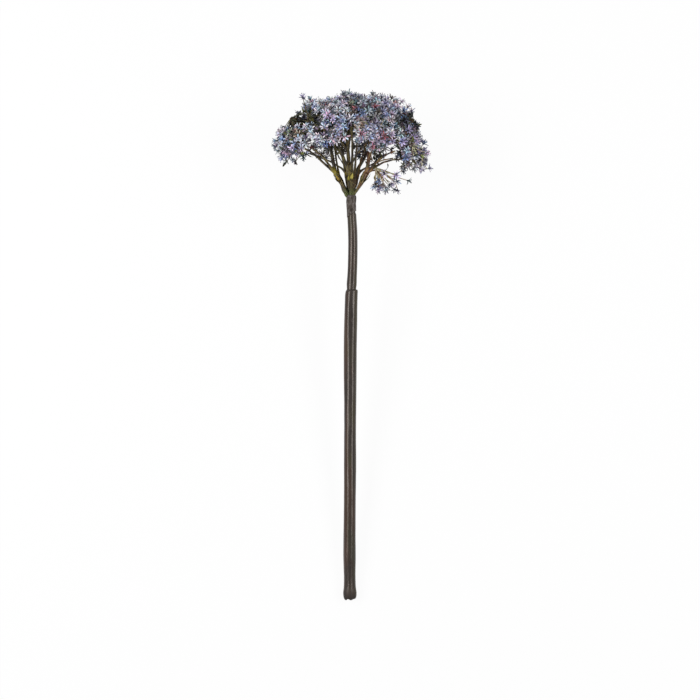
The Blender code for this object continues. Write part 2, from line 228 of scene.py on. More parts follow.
class Tree:
    """Writes nodes into a shader or geometry tree."""

    def __init__(self, owner):
        self.nodes = owner.nodes
        self.links = owner.links

    def node(self, kind, values=None, out=0, **settings):
        """Adds a node and returns the wire of one output."""
        made = self.nodes.new(kind)
        for name, setting in settings.items():
            setattr(made, name, setting)
        for name, value in (values or {}).items():
            self.feed(self.socket(made.inputs, name), value)
        return Wire(self, self.socket(made.outputs, out)) if made.outputs else None

    def socket(self, sockets, name):
        """A socket by its place in the row, its identifier or its label."""
        if isinstance(name, int):
            return sockets[name]
        for socket in sockets:
            if socket.identifier == name:
                return socket
        return sockets[name]

    def feed(self, socket, value):
        """Links a wire or several to a socket, or sets its value."""
        if isinstance(value, tuple) and isinstance(value[0], Wire):
            for wire in value:
                self.links.new(wire.socket, socket)
        elif isinstance(value, Wire):
            self.links.new(value.socket, socket)
        else:
            socket.default_value = value

    def maths(self, operation, *numbers):
        return self.node("ShaderNodeMath", dict(enumerate(numbers)), operation=operation)

    def vector(self, operation, *vectors, out="Vector"):
        return self.node("ShaderNodeVectorMath", dict(enumerate(vectors)), out, operation=operation)

    def place(self):
        """Where a point lies in its object's own coordinates."""
        return self.node("ShaderNodeTexCoord", out="Object")

    def noise(self, place, scale, detail=2.0, roughness=0.5):
        """Soft noise with so many features to the metre."""
        values = {"Vector": place, "Scale": scale, "Detail": detail, "Roughness": roughness}
        return self.node("ShaderNodeTexNoise", values)

    def between(self, value, low, high, bottom=0.0, top=1.0):
        """A soft step from bottom to top while the value goes from low to high."""
        values = {"Value": value, "From Min": low, "From Max": high, "To Min": bottom, "To Max": top}
        return self.node("ShaderNodeMapRange", values, interpolation_type="SMOOTHSTEP")

    def mixed(self, factor, first, second, blend="MIX"):
        """Two colours mixed by a factor."""
        values = {"Factor_Float": factor, "A_Color": first, "B_Color": second}
        return self.node("ShaderNodeMix", values, "Result_Color", data_type="RGBA", blend_type=blend)

    def layered(self, tint, *layers):
        """A colour with others laid over it, each by its own factor."""
        for factor, over in layers:
            tint = self.mixed(factor, tint, over)
        return tint


def colours(*rows):
    """Colours written in the 0 to 255 display scale, turned linear for a shader."""
    linear = []
    for row in rows:
        shares = [value / 255 for value in row]
        parts = [s / 12.92 if s <= 0.04045 else ((s + 0.055) / 1.055) ** 2.4 for s in shares]
        linear.append((*parts, 1.0))
    return linear


def new_finish(name):
    """An empty material and its tree."""
    finish = bpy.data.materials.new(name)
    finish.use_nodes = True
    finish.node_tree.nodes.clear()
    return finish, Tree(finish.node_tree)


print("helpers ready; mid grey in linear light is", round(colours((188, 188, 188))[0][0], 3))

# %% Light the flower
WHITE = (1.0, 1.0, 1.0, 1.0)
SKY = 0.12
LAMP_DISTANCE = 1.4
LAMP_SIZE = (0.55, 1.12)
LAMP_SIDE = math.radians(42.0)  # from the flower's front
LAMP_AIM = Vector((0.0, 480.0, 0.0)) * MM
LAMPS = {"lamp_left": (-1, 16.0), "lamp_right": (1, 12.5)}  # side and power in watts


def soft_lamp(name, side, power):
    """A tall soft lamp at one side of the flower, turned to its upper half."""
    lamp_data = bpy.data.lights.new(name, "AREA")
    lamp_data.shape = "RECTANGLE"
    lamp_data.size, lamp_data.size_y = LAMP_SIZE
    lamp_data.energy = power
    back = flower_turn @ Vector((side * math.sin(LAMP_SIDE), 0.0, math.cos(LAMP_SIDE)))
    seat = Matrix((stem_way.cross(back), stem_way, back)).transposed().to_4x4()
    seat.translation = flower @ LAMP_AIM + back * LAMP_DISTANCE
    in_scene(name, lamp_data).matrix_world = seat


def shown_glow(tree):
    """One for rays that show the background: straight to the camera, in a gloss or through glass."""
    straight = tree.node("ShaderNodeLightPath", out="Is Camera Ray")
    others = tree.maths("MAXIMUM", straight.beside("Is Glossy Ray"), straight.beside("Is Transmission Ray"))
    return tree.maths("MAXIMUM", straight, others)


for name, (side, power) in LAMPS.items():
    soft_lamp(name, side, power)

world = bpy.data.worlds.new("studio")
world.use_nodes = True
world.node_tree.nodes.clear()
sky = Tree(world.node_tree)
sky_strength = shown_glow(sky) * (1.0 - SKY) + SKY
glow = sky.node("ShaderNodeBackground", {"Color": WHITE, "Strength": sky_strength})
sky.node("ShaderNodeOutputWorld", {"Surface": glow})
bpy.context.scene.world = world
bpy.context.scene.view_settings.view_transform = "Standard"
print("lamps", LAMPS, "sky", SKY)

# %% Lay the floor
FLOOR_TINT = (0.9, 0.9, 0.9, 1.0)
FLOOR_GLOW = 0.94
FLOOR_FADE = (0.35, 0.95)  # metres from its middle: further out the floor is all glow
FLOOR_REACH = 4.0


def floor_finish():
    """White paper that is nearly all glow to the camera."""
    finish, tree = new_finish("white_floor")
    paper = tree.node("ShaderNodeBsdfDiffuse", {"Color": FLOOR_TINT})
    shine = tree.node("ShaderNodeEmission", {"Color": WHITE, "Strength": 1.0})
    away = tree.vector("LENGTH", tree.place(), out="Value")
    share = shown_glow(tree) * tree.between(away, *FLOOR_FADE, FLOOR_GLOW, 1.0)
    surface = tree.node("ShaderNodeMixShader", {0: share, 1: paper, 2: shine})
    tree.node("ShaderNodeOutputMaterial", {"Surface": surface})
    return finish


sheet = bmesh.new()
bmesh.ops.create_grid(sheet, x_segments=1, y_segments=1, size=FLOOR_REACH)
floor_mesh = bpy.data.meshes.new("floor")
sheet.to_mesh(floor_mesh)
sheet.free()
floor_mesh.materials.append(floor_finish())
floor = in_scene("floor", floor_mesh)
floor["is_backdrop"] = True
print("floor", 2 * FLOOR_REACH, "m wide")

# %% [markdown]
# ## The finish of the stem
# The stem is moulded plastic over wire, in a dull grey brown that drifts to warm brown and olive,
# with long streaks and a soft sheen. A painted picture could be wrapped round it, but noise in the
# piece's own coordinates never runs out and never repeats. The noise is stretched along the stem, so
# the streaks run with it.

# %% Stem coating
STREAK_ROUGHNESS = 0.55
STEM_GLOSS_TINT = (1.0, 0.91, 0.83, 1.0)
STREAK_TINT, FLECK_TINT, CUT_TINT = colours((20, 16, 13), (92, 84, 80), (18, 14, 13))
WARM_EDGE, OLIVE_EDGE = colours((72, 40, 24), (58, 52, 22))


def streaked(tree, place, across, lengthways, detail=3.0):
    """Noise stretched along the stem: sizes are features per metre across it and along it."""
    stretched = tree.node("ShaderNodeMapping", {"Vector": place, "Scale": (across, lengthways, across)})
    return tree.noise(stretched, 1.0, detail, STREAK_ROUGHNESS)


def flower_place(tree):
    """Object coordinates turned into the flower's frame."""
    values = {"Location": to_flower.translation, "Rotation": to_flower.to_euler()}
    return tree.node("ShaderNodeMapping", {"Vector": tree.place(), **values})


def plastic(tree, tint, roughness, relief, depth, gloss, gloss_tint=WHITE):
    """Ends a tree with one plastic shader, whose relief is raised by the depth."""
    normal = tree.node("ShaderNodeBump", {"Strength": 1.0, "Distance": depth, "Height": relief})
    values = {"Base Color": tint, "Roughness": roughness, "Specular IOR Level": gloss}
    values.update({"Specular Tint": gloss_tint, "Normal": normal})
    tree.node("ShaderNodeOutputMaterial", {"Surface": tree.node("ShaderNodeBsdfPrincipled", values)})


def stem_finish(name, streak_length, grey, warm, olive):
    """The coating of one length of stem, warm at its left edge, olive at its right, dark at the cut."""
    finish, tree = new_finish(name)
    place = flower_place(tree)
    broad = streaked(tree, place, 90.0, 14.0)
    patch = streaked(tree, place, 150.0, 26.0)
    streak = streaked(tree, place, 560.0, streak_length)
    fleck = streaked(tree, place, 900.0, 300.0, 2.0)
    side = tree.node("ShaderNodeSeparateXYZ", {"Vector": place}, "X")
    height = side.beside("Y")
    left = tree.between(side, -2.0 * MM, -5.5 * MM) * tree.between(patch, 0.35, 0.55)
    right = tree.between(side, 2.0 * MM, 5.0 * MM) * tree.between(broad, 0.6, 0.4)
    tint = tree.layered(
        grey,
        (tree.between(broad, 0.42, 0.60), warm),
        (tree.between(patch, 0.50, 0.64), olive),
        (tree.between(streak, 0.42, 0.62) * 0.7, STREAK_TINT),
        (tree.between(fleck, 0.58, 0.70) * 0.25, FLECK_TINT),
        (left * 0.4, WARM_EDGE),
        (right * 0.6, OLIVE_EDGE),
        (tree.between(height, 9 * MM, 2 * MM) * 0.75, CUT_TINT),
    )
    roughness = tree.between(patch, 0.35, 0.65, 0.20, 0.30) + tree.between(height, 16 * MM, 5 * MM) * 0.35
    relief = streak * 0.5 + fleck * 0.08 + broad
    plastic(tree, tint, roughness, relief, 0.2 * MM, 0.38, STEM_GLOSS_TINT)
    return finish


stem_coating = stem_finish("stem_coating", 18.0, *colours((38, 32, 29), (48, 32, 22), (42, 38, 20)))
upper_coating = stem_finish("upper_coating", 24.0, *colours((44, 36, 31), (50, 33, 22), (44, 38, 20)))
print("stem finishes", stem_coating.name, upper_coating.name)

# %% [markdown]
# ## The two lengths of stem
# Each length is a slim moulding with a slight bow, shallow flutes and a wrinkled skin. A cylinder
# with a bump map would show a ruler-straight edge, so the skin is lofted as rings: the radius of each
# ring follows the solid's own rings, and noise that is long in the direction of the stem pushes the
# skin in and out. Both lengths stay closed bodies, the lower one with its socket.

# %% Skin of a stem
AROUND = 48
INNER_RING = 0.85  # a ring narrower than this share of its neighbours is inside, and isn't skin
SKIN_NOISE = ((260, 22, 1), (420, 110, -1))  # features per metre across and along, sign of the seed
SMALL_RADIUS = 3 * MM  # below this the wrinkles fade with the radius
CUT_LUMPS_HIGH = 6 * MM
SOCKET_WIDE = 4.8 * MM
SOCKET_LIP = 0.3 * MM
SHOULDER_LONG = 7.0 * MM


def eased(places, values, at):
    """A smooth curve through the values at the given places."""
    slopes = np.gradient(values, places)
    at = np.clip(at, places[0], places[-1])
    index = np.clip(np.searchsorted(places, at, side="right") - 1, 0, len(places) - 2)
    span = places[index + 1] - places[index]
    t = (at - places[index]) / span
    return (
        values[index] * (1 + 2 * t) * (1 - t) ** 2
        + slopes[index] * span * t * (1 - t) ** 2
        + values[index + 1] * t**2 * (3 - 2 * t)
        + slopes[index + 1] * span * t**2 * (t - 1)
    )


def skin_of(name):
    """Height, sideways offset and radius of a stem's outer rings, in the flower's frame."""
    found = []
    for ring in rings_along(corners_of(name), np.array(stem_way)):
        local = np.array([to_flower @ Vector(corner) for corner in ring])
        middle = local.mean(0)
        reach = np.hypot(local[:, 0] - middle[0], local[:, 2] - middle[2]).max()
        found.append((middle[1], middle[0], reach))
    found = np.array(found)
    keep = np.ones(len(found), bool)
    for i in range(1, len(found) - 1):
        neighbours = np.interp(found[i, 0], found[[i - 1, i + 1], 0], found[[i - 1, i + 1], 2])
        keep[i] = found[i, 2] > INNER_RING * neighbours
    return found[keep]


lower, upper = skin_of("lower_stem"), skin_of("upper_stem")
joint_at = lower[-1, 0]
bow = np.vstack([lower[:, :2], upper[upper[:, 0] > joint_at + MM][:, :2]])


def bow_at(height):
    """How far the stem's middle lies to the side at a height."""
    return float(eased(bow[:, 0], bow[:, 1], height))


def wrinkle(height, turn, radius, seed, *pushes):
    """How far the skin lies in or out at a place on the stem: a long noise and a short one."""
    across, front = math.cos(turn) * radius, math.sin(turn) * radius
    total = 0.0
    for (fine, lengthways, sign), push in zip(SKIN_NOISE, pushes):
        total += push * noise.noise(Vector((across * fine, height * lengthways, front * fine + sign * seed)))
    return total


def banded(solid, rings, caps=False):
    """Faces from ring to ring. A ring of one corner is a pole, and caps close the two ends."""
    for first, second in zip(rings, rings[1:]):
        for k in range(max(len(first), len(second))):
            steps = ((first, k), (first, k + 1), (second, k + 1), (second, k))
            corners = [ring[step % len(ring)] for ring, step in steps]
            solid.faces.new(list(dict.fromkeys(corners)))
    if caps:
        solid.faces.new(reversed(rings[0]))
        solid.faces.new(rings[-1])
    bmesh.ops.recalc_face_normals(solid, faces=solid.faces)


def add_piece(name, solid):
    """Turns a bmesh into a smooth object at the origin."""
    mesh = bpy.data.meshes.new(name)
    solid.to_mesh(mesh)
    solid.free()
    mesh.shade_smooth()
    return in_scene(name, mesh)


def lofted(name, rows, seed, flute, ripple, lumps=(), shoulder=0.0):
    """A closed skin round the bow. Each row is a height and a radius; a radius of nought is a pole.

    Towards the joint the skin draws in on the left by twice the shoulder. Lumps roughen its low end.
    """
    solid = bmesh.new()
    rings = []
    for height, radius in rows:
        middle = bow_at(height)
        if shoulder and radius > SOCKET_WIDE + SOCKET_LIP:
            slip = shoulder * max(0.0, 1.0 - (joint_at - height) / SHOULDER_LONG) ** 2
            middle, radius = middle + slip, radius - slip
        if radius == 0.0:
            rings.append([solid.verts.new(flower @ Vector((middle, height, 0.0)))])
            continue
        share = min(1.0, radius / SMALL_RADIUS)
        fade = max(0.0, 1.0 - height / CUT_LUMPS_HIGH)
        ring = []
        for k in range(AROUND):
            turn = math.tau * k / AROUND
            reach = radius + wrinkle(height, turn, radius, seed, flute, ripple) * share
            lump = sum(size * math.sin(n * turn + phase) for n, phase, size in lumps)
            rise = height + lump * fade * share
            spot = flower @ Vector((middle + reach * math.cos(turn), rise, reach * math.sin(turn)))
            ring.append(solid.verts.new((spot.x, spot.y, max(spot.z, 0.0))))
        rings.append(ring)
    banded(solid, rings)
    return add_piece(name, solid)


def finished(piece, finish, slot, *nodes):
    """Gives a piece its material and its body, and hides the CAD nodes that it stands for."""
    if finish is not None:
        piece.data.materials.clear()
        piece.data.materials.append(finish)
    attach(piece, "root")
    if nodes:
        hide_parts(*nodes)
    return piece


print("lower stem rings", len(lower), "upper", len(upper), "length", round(joint_at / MM, 1), "mm")

# %% Lower length, with its lumpy cut end and its socket
RING_STEP = 1.8 * MM
SOCKET_DEEP = 30.0 * MM
SHOULDER = 0.55 * MM
CUT_ROWS = (  # height and radius in mm, from the middle of the cut to the skin
    (1.4, 0.0), (1.0, 2.0), (0.4, 3.6), (0.0, 4.6), (0.35, 5.5), (1.2, 6.15), (2.6, 6.5), (3.8, 6.65),
)
LIP_ROWS = ((2.6, -0.05), (1.7, -0.02), (0.9, 0.12), (0.35, 0.45), (0.05, 0.95))  # mm down, mm in
CUT_LUMPS = ((2, 0.6, 0.45 * MM), (3, 2.1, 0.5 * MM), (5, 4.0, 0.45 * MM))  # waves, phase, height
socket_end = joint_at - SOCKET_DEEP


def skin_rows(skin, foot, top, coat=0.0):
    """Even rows of height and radius along a stem's skin."""
    heights = np.arange(foot, top, RING_STEP)
    return list(zip(heights, eased(skin[:, 0], skin[:, 2], heights) + coat))


lower_rows = [(height * MM, radius * MM) for height, radius in CUT_ROWS]
lower_rows += skin_rows(lower, 5 * MM, joint_at - 3 * MM)
lower_rows += [(joint_at - down * MM, lower[-1, 2] - inwards * MM) for down, inwards in LIP_ROWS]
lower_rows += [(joint_at - 0.1 * MM, SOCKET_WIDE + 0.25 * MM), (joint_at - 0.7 * MM, SOCKET_WIDE)]
lower_rows += [(joint_at - SOCKET_DEEP / 2, SOCKET_WIDE), (socket_end, SOCKET_WIDE), (socket_end, 0.0)]
lower_stem = lofted("stem_lower_length", lower_rows, 3.0, 0.30 * MM, 0.07 * MM, CUT_LUMPS, SHOULDER)
finished(lower_stem, stem_coating, "stem_coating", "lower_stem")
print("lower length", len(lower_stem.data.polygons), "faces")

# %% Upper length, plugged into the socket
UPPER_COAT = 0.25 * MM  # the coating stands proud of the rod
PLUG_WIDE = 3.6 * MM
plug_foot, plug_top = upper[0, 0], upper[-1, 0]
upper_rows = [(plug_foot, 0.0), (plug_foot, PLUG_WIDE), (plug_foot + 0.8 * MM, 4.3 * MM)]
upper_rows += skin_rows(upper, joint_at - 6 * MM, plug_top - 8 * MM, UPPER_COAT)
upper_rows += [(plug_top - 6.2 * MM, 3.7 * MM), (plug_top, PLUG_WIDE), (plug_top, 0.0)]
upper_stem = lofted("stem_upper_length", upper_rows, 8.0, 0.28 * MM, 0.06 * MM)
finished(upper_stem, upper_coating, "stem_coating", "upper_stem")
print("upper length", len(upper_stem.data.polygons), "faces")

# %% [markdown]
# ## The wrap of tape
# A band of stretched tape hides where the sprays meet the stem. It could be a plain ring, but real
# tape lies in spiral turns with folds. The ring is lofted in the same way, and a few folds that wind
# round it are raised from its surface, so its outline is uneven and its folds catch the light.

# %% Tape wrap
TAPE_STEPS = 26
TAPE_HANG = 2.5 * MM  # the tape ends this far below its solid
TAPE_SLANT = 3.5 * MM  # its end is that much lower on the left and higher on the right
TAPE_INNER = 3.95 * MM
TAPE_THICK = 0.3 * MM
TAPE_GROWS = 2.2  # it reaches its full width at one part in this many of its height

wrap_rings = skin_of("stem_wrap")
wrap_from, wrap_to = wrap_rings[0, 0], wrap_rings[-1, 0]
tape_foot = wrap_from - TAPE_HANG
foot_wide = float(eased(upper[:, 0], upper[:, 2], tape_foot)) + UPPER_COAT + TAPE_THICK


def tape_fold(height, turn):
    """How far the tape stands out: two spirals, creases and one overlapping edge."""
    climb = (height - wrap_from) / (wrap_to - wrap_from)
    first = math.sin(2 * turn + 5.2 * climb + 0.6)
    second = math.sin(3 * turn - 7.5 * climb + 2.2)
    crease = noise.noise(Vector((math.cos(turn) * 2.2, climb * 2.5, math.sin(turn) * 2.2 + 5)))
    edge = math.tanh(7 * math.sin(turn - 1.5 - 0.8 * math.sin(4.2 * climb)))
    return (0.16 * first + 0.10 * second + 0.35 * crease + 0.20 * edge) * MM


def tape_ring(solid, height, radius, slant=0.0, fold=0.0):
    """One ring of the tape, lower on the left by its slant."""
    ring = []
    for k in range(AROUND):
        turn = math.tau * k / AROUND
        reach = radius + tape_fold(height, turn) * fold
        side, rise = bow_at(height) + reach * math.cos(turn), height + slant * math.cos(turn)
        ring.append(solid.verts.new(flower @ Vector((side, rise, reach * math.sin(turn)))))
    return ring


def tape_wrap():
    """The closed tube of tape, with its plain inner side."""
    solid = bmesh.new()
    rings = []
    for k in range(TAPE_STEPS + 1):
        share = k / TAPE_STEPS
        height = tape_foot + (wrap_to - tape_foot) * share
        wide = float(eased(wrap_rings[:, 0], wrap_rings[:, 2], height))
        grown = min(1.0, TAPE_GROWS * share)
        radius = foot_wide + (wide - foot_wide) * grown
        rings.append(tape_ring(solid, height, radius, TAPE_SLANT * (1 - share) ** 2, 0.2 + 0.8 * grown))
    rings.append(tape_ring(solid, wrap_to - 1.0 * MM, TAPE_INNER))
    rings.append(tape_ring(solid, tape_foot + 0.6 * MM, TAPE_INNER, TAPE_SLANT))
    banded(solid, [*rings, rings[0]])
    return add_piece("tape_wrap", solid)


def tape_finish():
    """Grey brown tape with dark spiral lines painted as the shade of creases, and pale worn ones."""
    finish, tree = new_finish("wrap_tape")
    place = flower_place(tree)
    cloudy = tree.noise(place, 260.0, 3.0)
    spiral = streaked(tree, place, 420.0, 120.0)
    # the crease colour is painted shade, laid in the spiral creases
    grey, brown, crease, worn = colours((92, 86, 82), (56, 48, 42), (32, 27, 23), (126, 118, 122))
    tint = tree.layered(
        grey,
        (tree.between(cloudy, 0.42, 0.58), brown),
        # dark spiral lines: painted shade of creases
        (tree.between(spiral, 0.48, 0.60) * 0.8, crease),
        (tree.between(spiral, 0.42, 0.34) * 0.6, worn),
    )
    roughness = tree.between(cloudy, 0.35, 0.65, 0.38, 0.6)
    plastic(tree, tint, roughness, spiral + cloudy, 0.5 * MM, 0.2, STEM_GLOSS_TINT)
    return finish


wrap = finished(tape_wrap(), tape_finish(), "wrap_tape", "stem_wrap")
print("tape wrap", len(wrap.data.polygons), "faces")

# %% [markdown]
# ## The sprays of rays
# Six moulded sprays fan out of the wrap: thick olive stalks that fork into rays. Their solids are
# faceted rods, joined where they fork. A voxel remesh of a merged copy melts the joints into one
# skin, as in a moulding. Then noise that depends only on the direction from the wrap pushes that
# skin in and out, which makes ridges that run along the rays.

# %% Finish of the sprays
ROOT_DEPTH = 6 * MM  # the ridges of all sprays meet this far below the top of the wrap
wrap_height = (to_flower @ wrap_top).y
root_place = flower @ Vector((0.0, wrap_height - ROOT_DEPTH, 0.0))


def spray_finish():
    """Olive and brown plastic, streaked along the rays, with painted shade in dark grooves, painted
    highlights on pale ridges and a yellow-green sheath.
    """
    finish, tree = new_finish("spray_plastic")
    place = tree.place()
    from_root = tree.vector("SUBTRACT", place, root_place)
    reach = tree.vector("LENGTH", from_root, out="Value")
    heading = tree.vector("NORMALIZE", from_root)
    rayed, fine = tree.noise(heading, 10.0, 3.0), tree.noise(heading, 30.0)
    mottle = tree.noise(place, 150.0)
    rightness = tree.vector("DOT_PRODUCT", heading, side_way, out="Value")
    reddish = tree.between(rightness, 0.05, 0.36) * tree.between(mottle, 0.66, 0.42)
    sheath = tree.between(reach, 27 * MM, 31 * MM) * tree.between(reach, 40 * MM, 34 * MM)
    sheath = sheath * tree.between(rightness, 0.1, -0.3) * tree.between(mottle, 0.40, 0.52)
    brown, straw, olive, red = colours((44, 30, 12), (114, 94, 48), (84, 80, 26), (122, 70, 38))
    # the darkest colour is painted shade in the grooves, the palest a painted highlight on the ridges
    groove_shade, ridge, yellow, green = colours((22, 14, 6), (160, 146, 92), (150, 136, 42), (84, 98, 52))
    tint = tree.layered(
        brown,
        (tree.between(rayed, 0.40, 0.56), straw),
        (tree.between(mottle, 0.45, 0.60) * 0.5, olive),
        (reddish * 0.85, red),
        # painted shade in the grooves
        (tree.between(fine, 0.45, 0.54) * 0.9, groove_shade),
        # painted highlights on the ridges
        (tree.between(fine, 0.44, 0.36) * 0.6, ridge),
        (sheath * 0.8, yellow),
        (tree.between(reach, 17 * MM, 8 * MM) * 0.7, green),
    )
    plastic(tree, tint, tree.between(rayed, 0.3, 0.7, 0.36, 0.55), rayed + fine * 0.6, 0.8 * MM, 0.35)
    return finish


spray_plastic = spray_finish()
print("spray finish", spray_plastic.name)

# %% Melt the joints and raise the ridges
RAY_VOXEL = 0.6 * MM
MELT_SMOOTH = (0.5, 4)  # factor and rounds
STALK_REACH = 26 * MM  # the thick stalks end about here, and thin rays go on
STALK_FADE = 16 * MM
STALK_TRIM, RAY_TRIM = -0.35 * MM, -0.42 * MM
STALK_RIDGE, RAY_RIDGE = 1.0 * MM, 0.25 * MM
RIDGES = (9.0, 21.0)  # broad and fine ridges round the root
KNOT, KNOTS = 0.22 * MM, 190.0  # height, and knots to the metre
SCAR, SCARS = 1.5 * MM, 240.0  # torn edges and scars stand out of the thick stalks
SCAR_FROM = 0.32
ROD_SIDES, ROD_STEPS = 8, 12
INNER_RAYS = (  # foot, bend and tip above the top of the wrap in mm, then the radius at foot and tip
    ((1.0, -2, 1.5), (3.4, 22, 5), (6.0, 54, 16), (2.2, 1.3)),
    ((-3.0, -2, -1.5), (-14.0, 14, -4), (-16.5, 50, -9), (2.0, 1.4)),
    ((2.0, -2, -1.0), (5.0, 22, -3), (15.0, 54, -12), (2.2, 1.3)),
    ((-0.5, -2, 2.5), (-1.0, 24, 9), (2.0, 50, 26), (2.0, 1.3)),
    ((-2.0, -2, -1.0), (-5.0, 22, -4), (-12.0, 52, -14), (2.0, 1.2)),
)
STALK_SHIFT = {  # sideways, so that a slit opens on each side of the front stalk
    "spray_2": -0.9 * MM, "spray_3": 4.2 * MM, "spray_4": -5.0 * MM, "spray_5": 1.8 * MM,
}
STALK_SWELL = {"spray_2": -0.4 * MM, "spray_5": 0.2 * MM}
NECK_TRIM = {"spray_3": -0.8 * MM, "spray_4": -0.8 * MM, "spray_5": -0.35 * MM}
RAY_LIFT = {"spray_2": 6.0 * MM}
LIFT_DEPTH = 14 * MM  # only the rays near the middle depth are lifted
SHIFT_HILL = (0.0, 12 * MM, 26 * MM, 44 * MM)  # where each change starts, is full, fades and ends
NECK_HILL = (2 * MM, 6 * MM, 13 * MM, 20 * MM)
LIFT_HILL = (40 * MM, 66 * MM, 90 * MM, 100 * MM)


def baked(piece, name):
    """The plain mesh of a piece after its modifiers, as a new object."""
    bpy.context.view_layer.update()
    graph = bpy.context.evaluated_depsgraph_get()
    mesh = bpy.data.meshes.new_from_object(piece.evaluated_get(graph))
    mesh.name = name
    made = in_scene(name, mesh)
    old = piece.data
    bpy.data.objects.remove(piece)
    bpy.data.meshes.remove(old)
    return made


def hump(value, start, full, fading, end):
    """A smooth hill that rises from start to full and falls from fading to end."""
    rise = min(1.0, max(0.0, (value - start) / (full - start)))
    fall = min(1.0, max(0.0, (end - value) / (end - fading)))
    return rise * rise * (3 - 2 * rise) * fall * fall * (3 - 2 * fall)


def bent(place, node):
    """A place of a stalk moved sideways below its fork, and of its rays moved up above it."""
    shift = STALK_SHIFT.get(node, 0.0) * hump((to_flower @ place).y - wrap_height, *SHIFT_HILL)
    lift = RAY_LIFT.get(node, 0.0) * hump((place - root_place).length, *LIFT_HILL)
    lift *= math.exp(-(((to_flower @ place).z / LIFT_DEPTH) ** 2))
    return place + side_way * shift + stem_way * lift


def rod_into(solid, foot, bend, tip, radii):
    """Adds a closed rod that leaves the wrap and bends to its tip."""
    foot, bend, tip = Vector(foot), Vector(bend), Vector(tip)
    turns = [math.tau * n / ROD_SIDES for n in range(ROD_SIDES)]
    rings = []
    for k in range(ROD_STEPS + 1):
        t = k / ROD_STEPS
        middle = foot * (1 - t) ** 2 + bend * 2 * t * (1 - t) + tip * t**2
        along_rod = ((bend - foot) * (1 - t) + (tip - bend) * t).normalized()
        side = along_rod.cross(Vector((0, 0, 1))).normalized()
        front = side.cross(along_rod)
        wide = radii[0] + (radii[1] - radii[0]) * t
        ring = [middle + (side * math.cos(a) + front * math.sin(a)) * wide for a in turns]
        rise = Vector((0.0, wrap_height, 0.0))
        rings.append([solid.verts.new(flower @ (place * MM + rise)) for place in ring])
    banded(solid, rings, caps=True)


def melted(node, name):
    """One spray as a single skin, the core with its inner rays."""
    solid = merged(node)
    for ray in INNER_RAYS if node == "spray_core" else ():
        rod_into(solid, *ray)
    rough = add_piece("rough_" + node, solid)
    remesh = rough.modifiers.new("melt", "REMESH")
    remesh.mode = "VOXEL"
    remesh.voxel_size = RAY_VOXEL
    smooth = rough.modifiers.new("smooth", "SMOOTH")
    smooth.factor, smooth.iterations = MELT_SMOOTH
    return baked(rough, name)


def ridged_spray(node, name):
    """One spray with ridges that run out along its rays."""
    spray = melted(node, name)
    solid = bmesh.new()
    solid.from_mesh(spray.data)
    solid.normal_update()
    for corner in solid.verts:
        corner.co = bent(corner.co, node)
        away = corner.co - root_place
        far = away.length
        way = away / far
        stalk = min(1.0, max(0.0, 1 - (far - STALK_REACH) / STALK_FADE))
        ridges = noise.noise(way * RIDGES[0]) + 0.5 * noise.noise(way * RIDGES[1])
        trim = RAY_TRIM + (STALK_TRIM + STALK_SWELL.get(node, 0.0) - RAY_TRIM) * stalk
        trim += NECK_TRIM.get(node, 0.0) * hump((to_flower @ corner.co).y - wrap_height, *NECK_HILL)
        ridge = RAY_RIDGE + (STALK_RIDGE - RAY_RIDGE) * stalk * min(1.0, far / (14 * MM))
        scar = max(0.0, noise.noise(corner.co * SCARS) - SCAR_FROM) * SCAR * stalk * min(1.0, far / (20 * MM))
        corner.co += corner.normal * (trim + ridge * ridges + scar + KNOT * noise.noise(corner.co * KNOTS))
    solid.to_mesh(spray.data)
    solid.free()
    spray.data.shade_smooth()
    return finished(spray, spray_plastic, "spray_plastic", node)


spray_nodes = sorted(name for name in frame["nodes"] if name.startswith("spray_"))
sprays = {node: ridged_spray(node, "rays_" + node) for node in spray_nodes}
print("spray faces", {node: len(spray.data.polygons) for node, spray in sprays.items()})

# %% [markdown]
# ## Reading the umbellets
# Twenty-seven umbellets make the dome. Each solid is a hub with fifteen pedicels that end in a
# coarse star. The heart of a star is the only corner that ten edges meet, so a merged copy of the
# solid gives the place and the facing of every floret.

# %% Places and facings of the florets
HEART_EDGES = 10
STAR_REACH = 5 * MM
HUB_APART = 6 * MM
DOME_RISE = 46 * MM
dome_middle = Vector((0.0, wrap_height + DOME_RISE, 0.0))
LUMPS = (  # degrees from the stem's line, width, how far the dome swells there
    (-100.0, 10.0, -0.04), (-76.0, 8.0, -0.02), (-68.0, 6.0, -0.14), (-61.0, 9.0, -0.30),
    (-43.0, 5.0, 0.06), (-28.0, 14.0, -0.10), (10.0, 12.0, -0.06), (45.0, 8.0, 0.07),
    (54.0, 5.0, 0.04), (63.0, 7.0, -0.13), (74.0, 5.0, -0.05), (86.0, 11.0, -0.08),
)
SWINGS = {  # umbellets bent one by one: degrees about the front, hub's shift in mm, reach and spread
    "umbellet_21": (22.0, (-2.0, 3.0, 0.0), 0.90, 1.0),
    "umbellet_26": (-27.0, (-3.0, 3.0, 0.0), 0.80, 1.15),
    "umbellet_07": (0.0, (1.0, 5.0, 0.0), 1.0, 1.0),
    "umbellet_17": (16.0, (0.0, 2.0, 0.0), 1.0, 1.0),
    "umbellet_22": (11.0, (0.0, 2.0, 0.0), 0.95, 1.0),
}


def shaped(place):
    """The dome is flatter on top than its solids and has dents and bulges: a heart moved to suit."""
    off = to_flower @ place - dome_middle
    turn = math.degrees(math.atan2(off.x, off.y))
    scale = 1.0 + sum(amount * math.exp(-(((turn - at) / wide) ** 2)) for at, wide, amount in LUMPS)
    return flower @ (dome_middle + Vector((off.x * scale, off.y * scale, off.z)))


def is_heart(corner):
    """The heart of a star is where ten short edges meet."""
    edges = corner.link_edges
    return len(edges) == HEART_EDGES and max(edge.calc_length() for edge in edges) < STAR_REACH


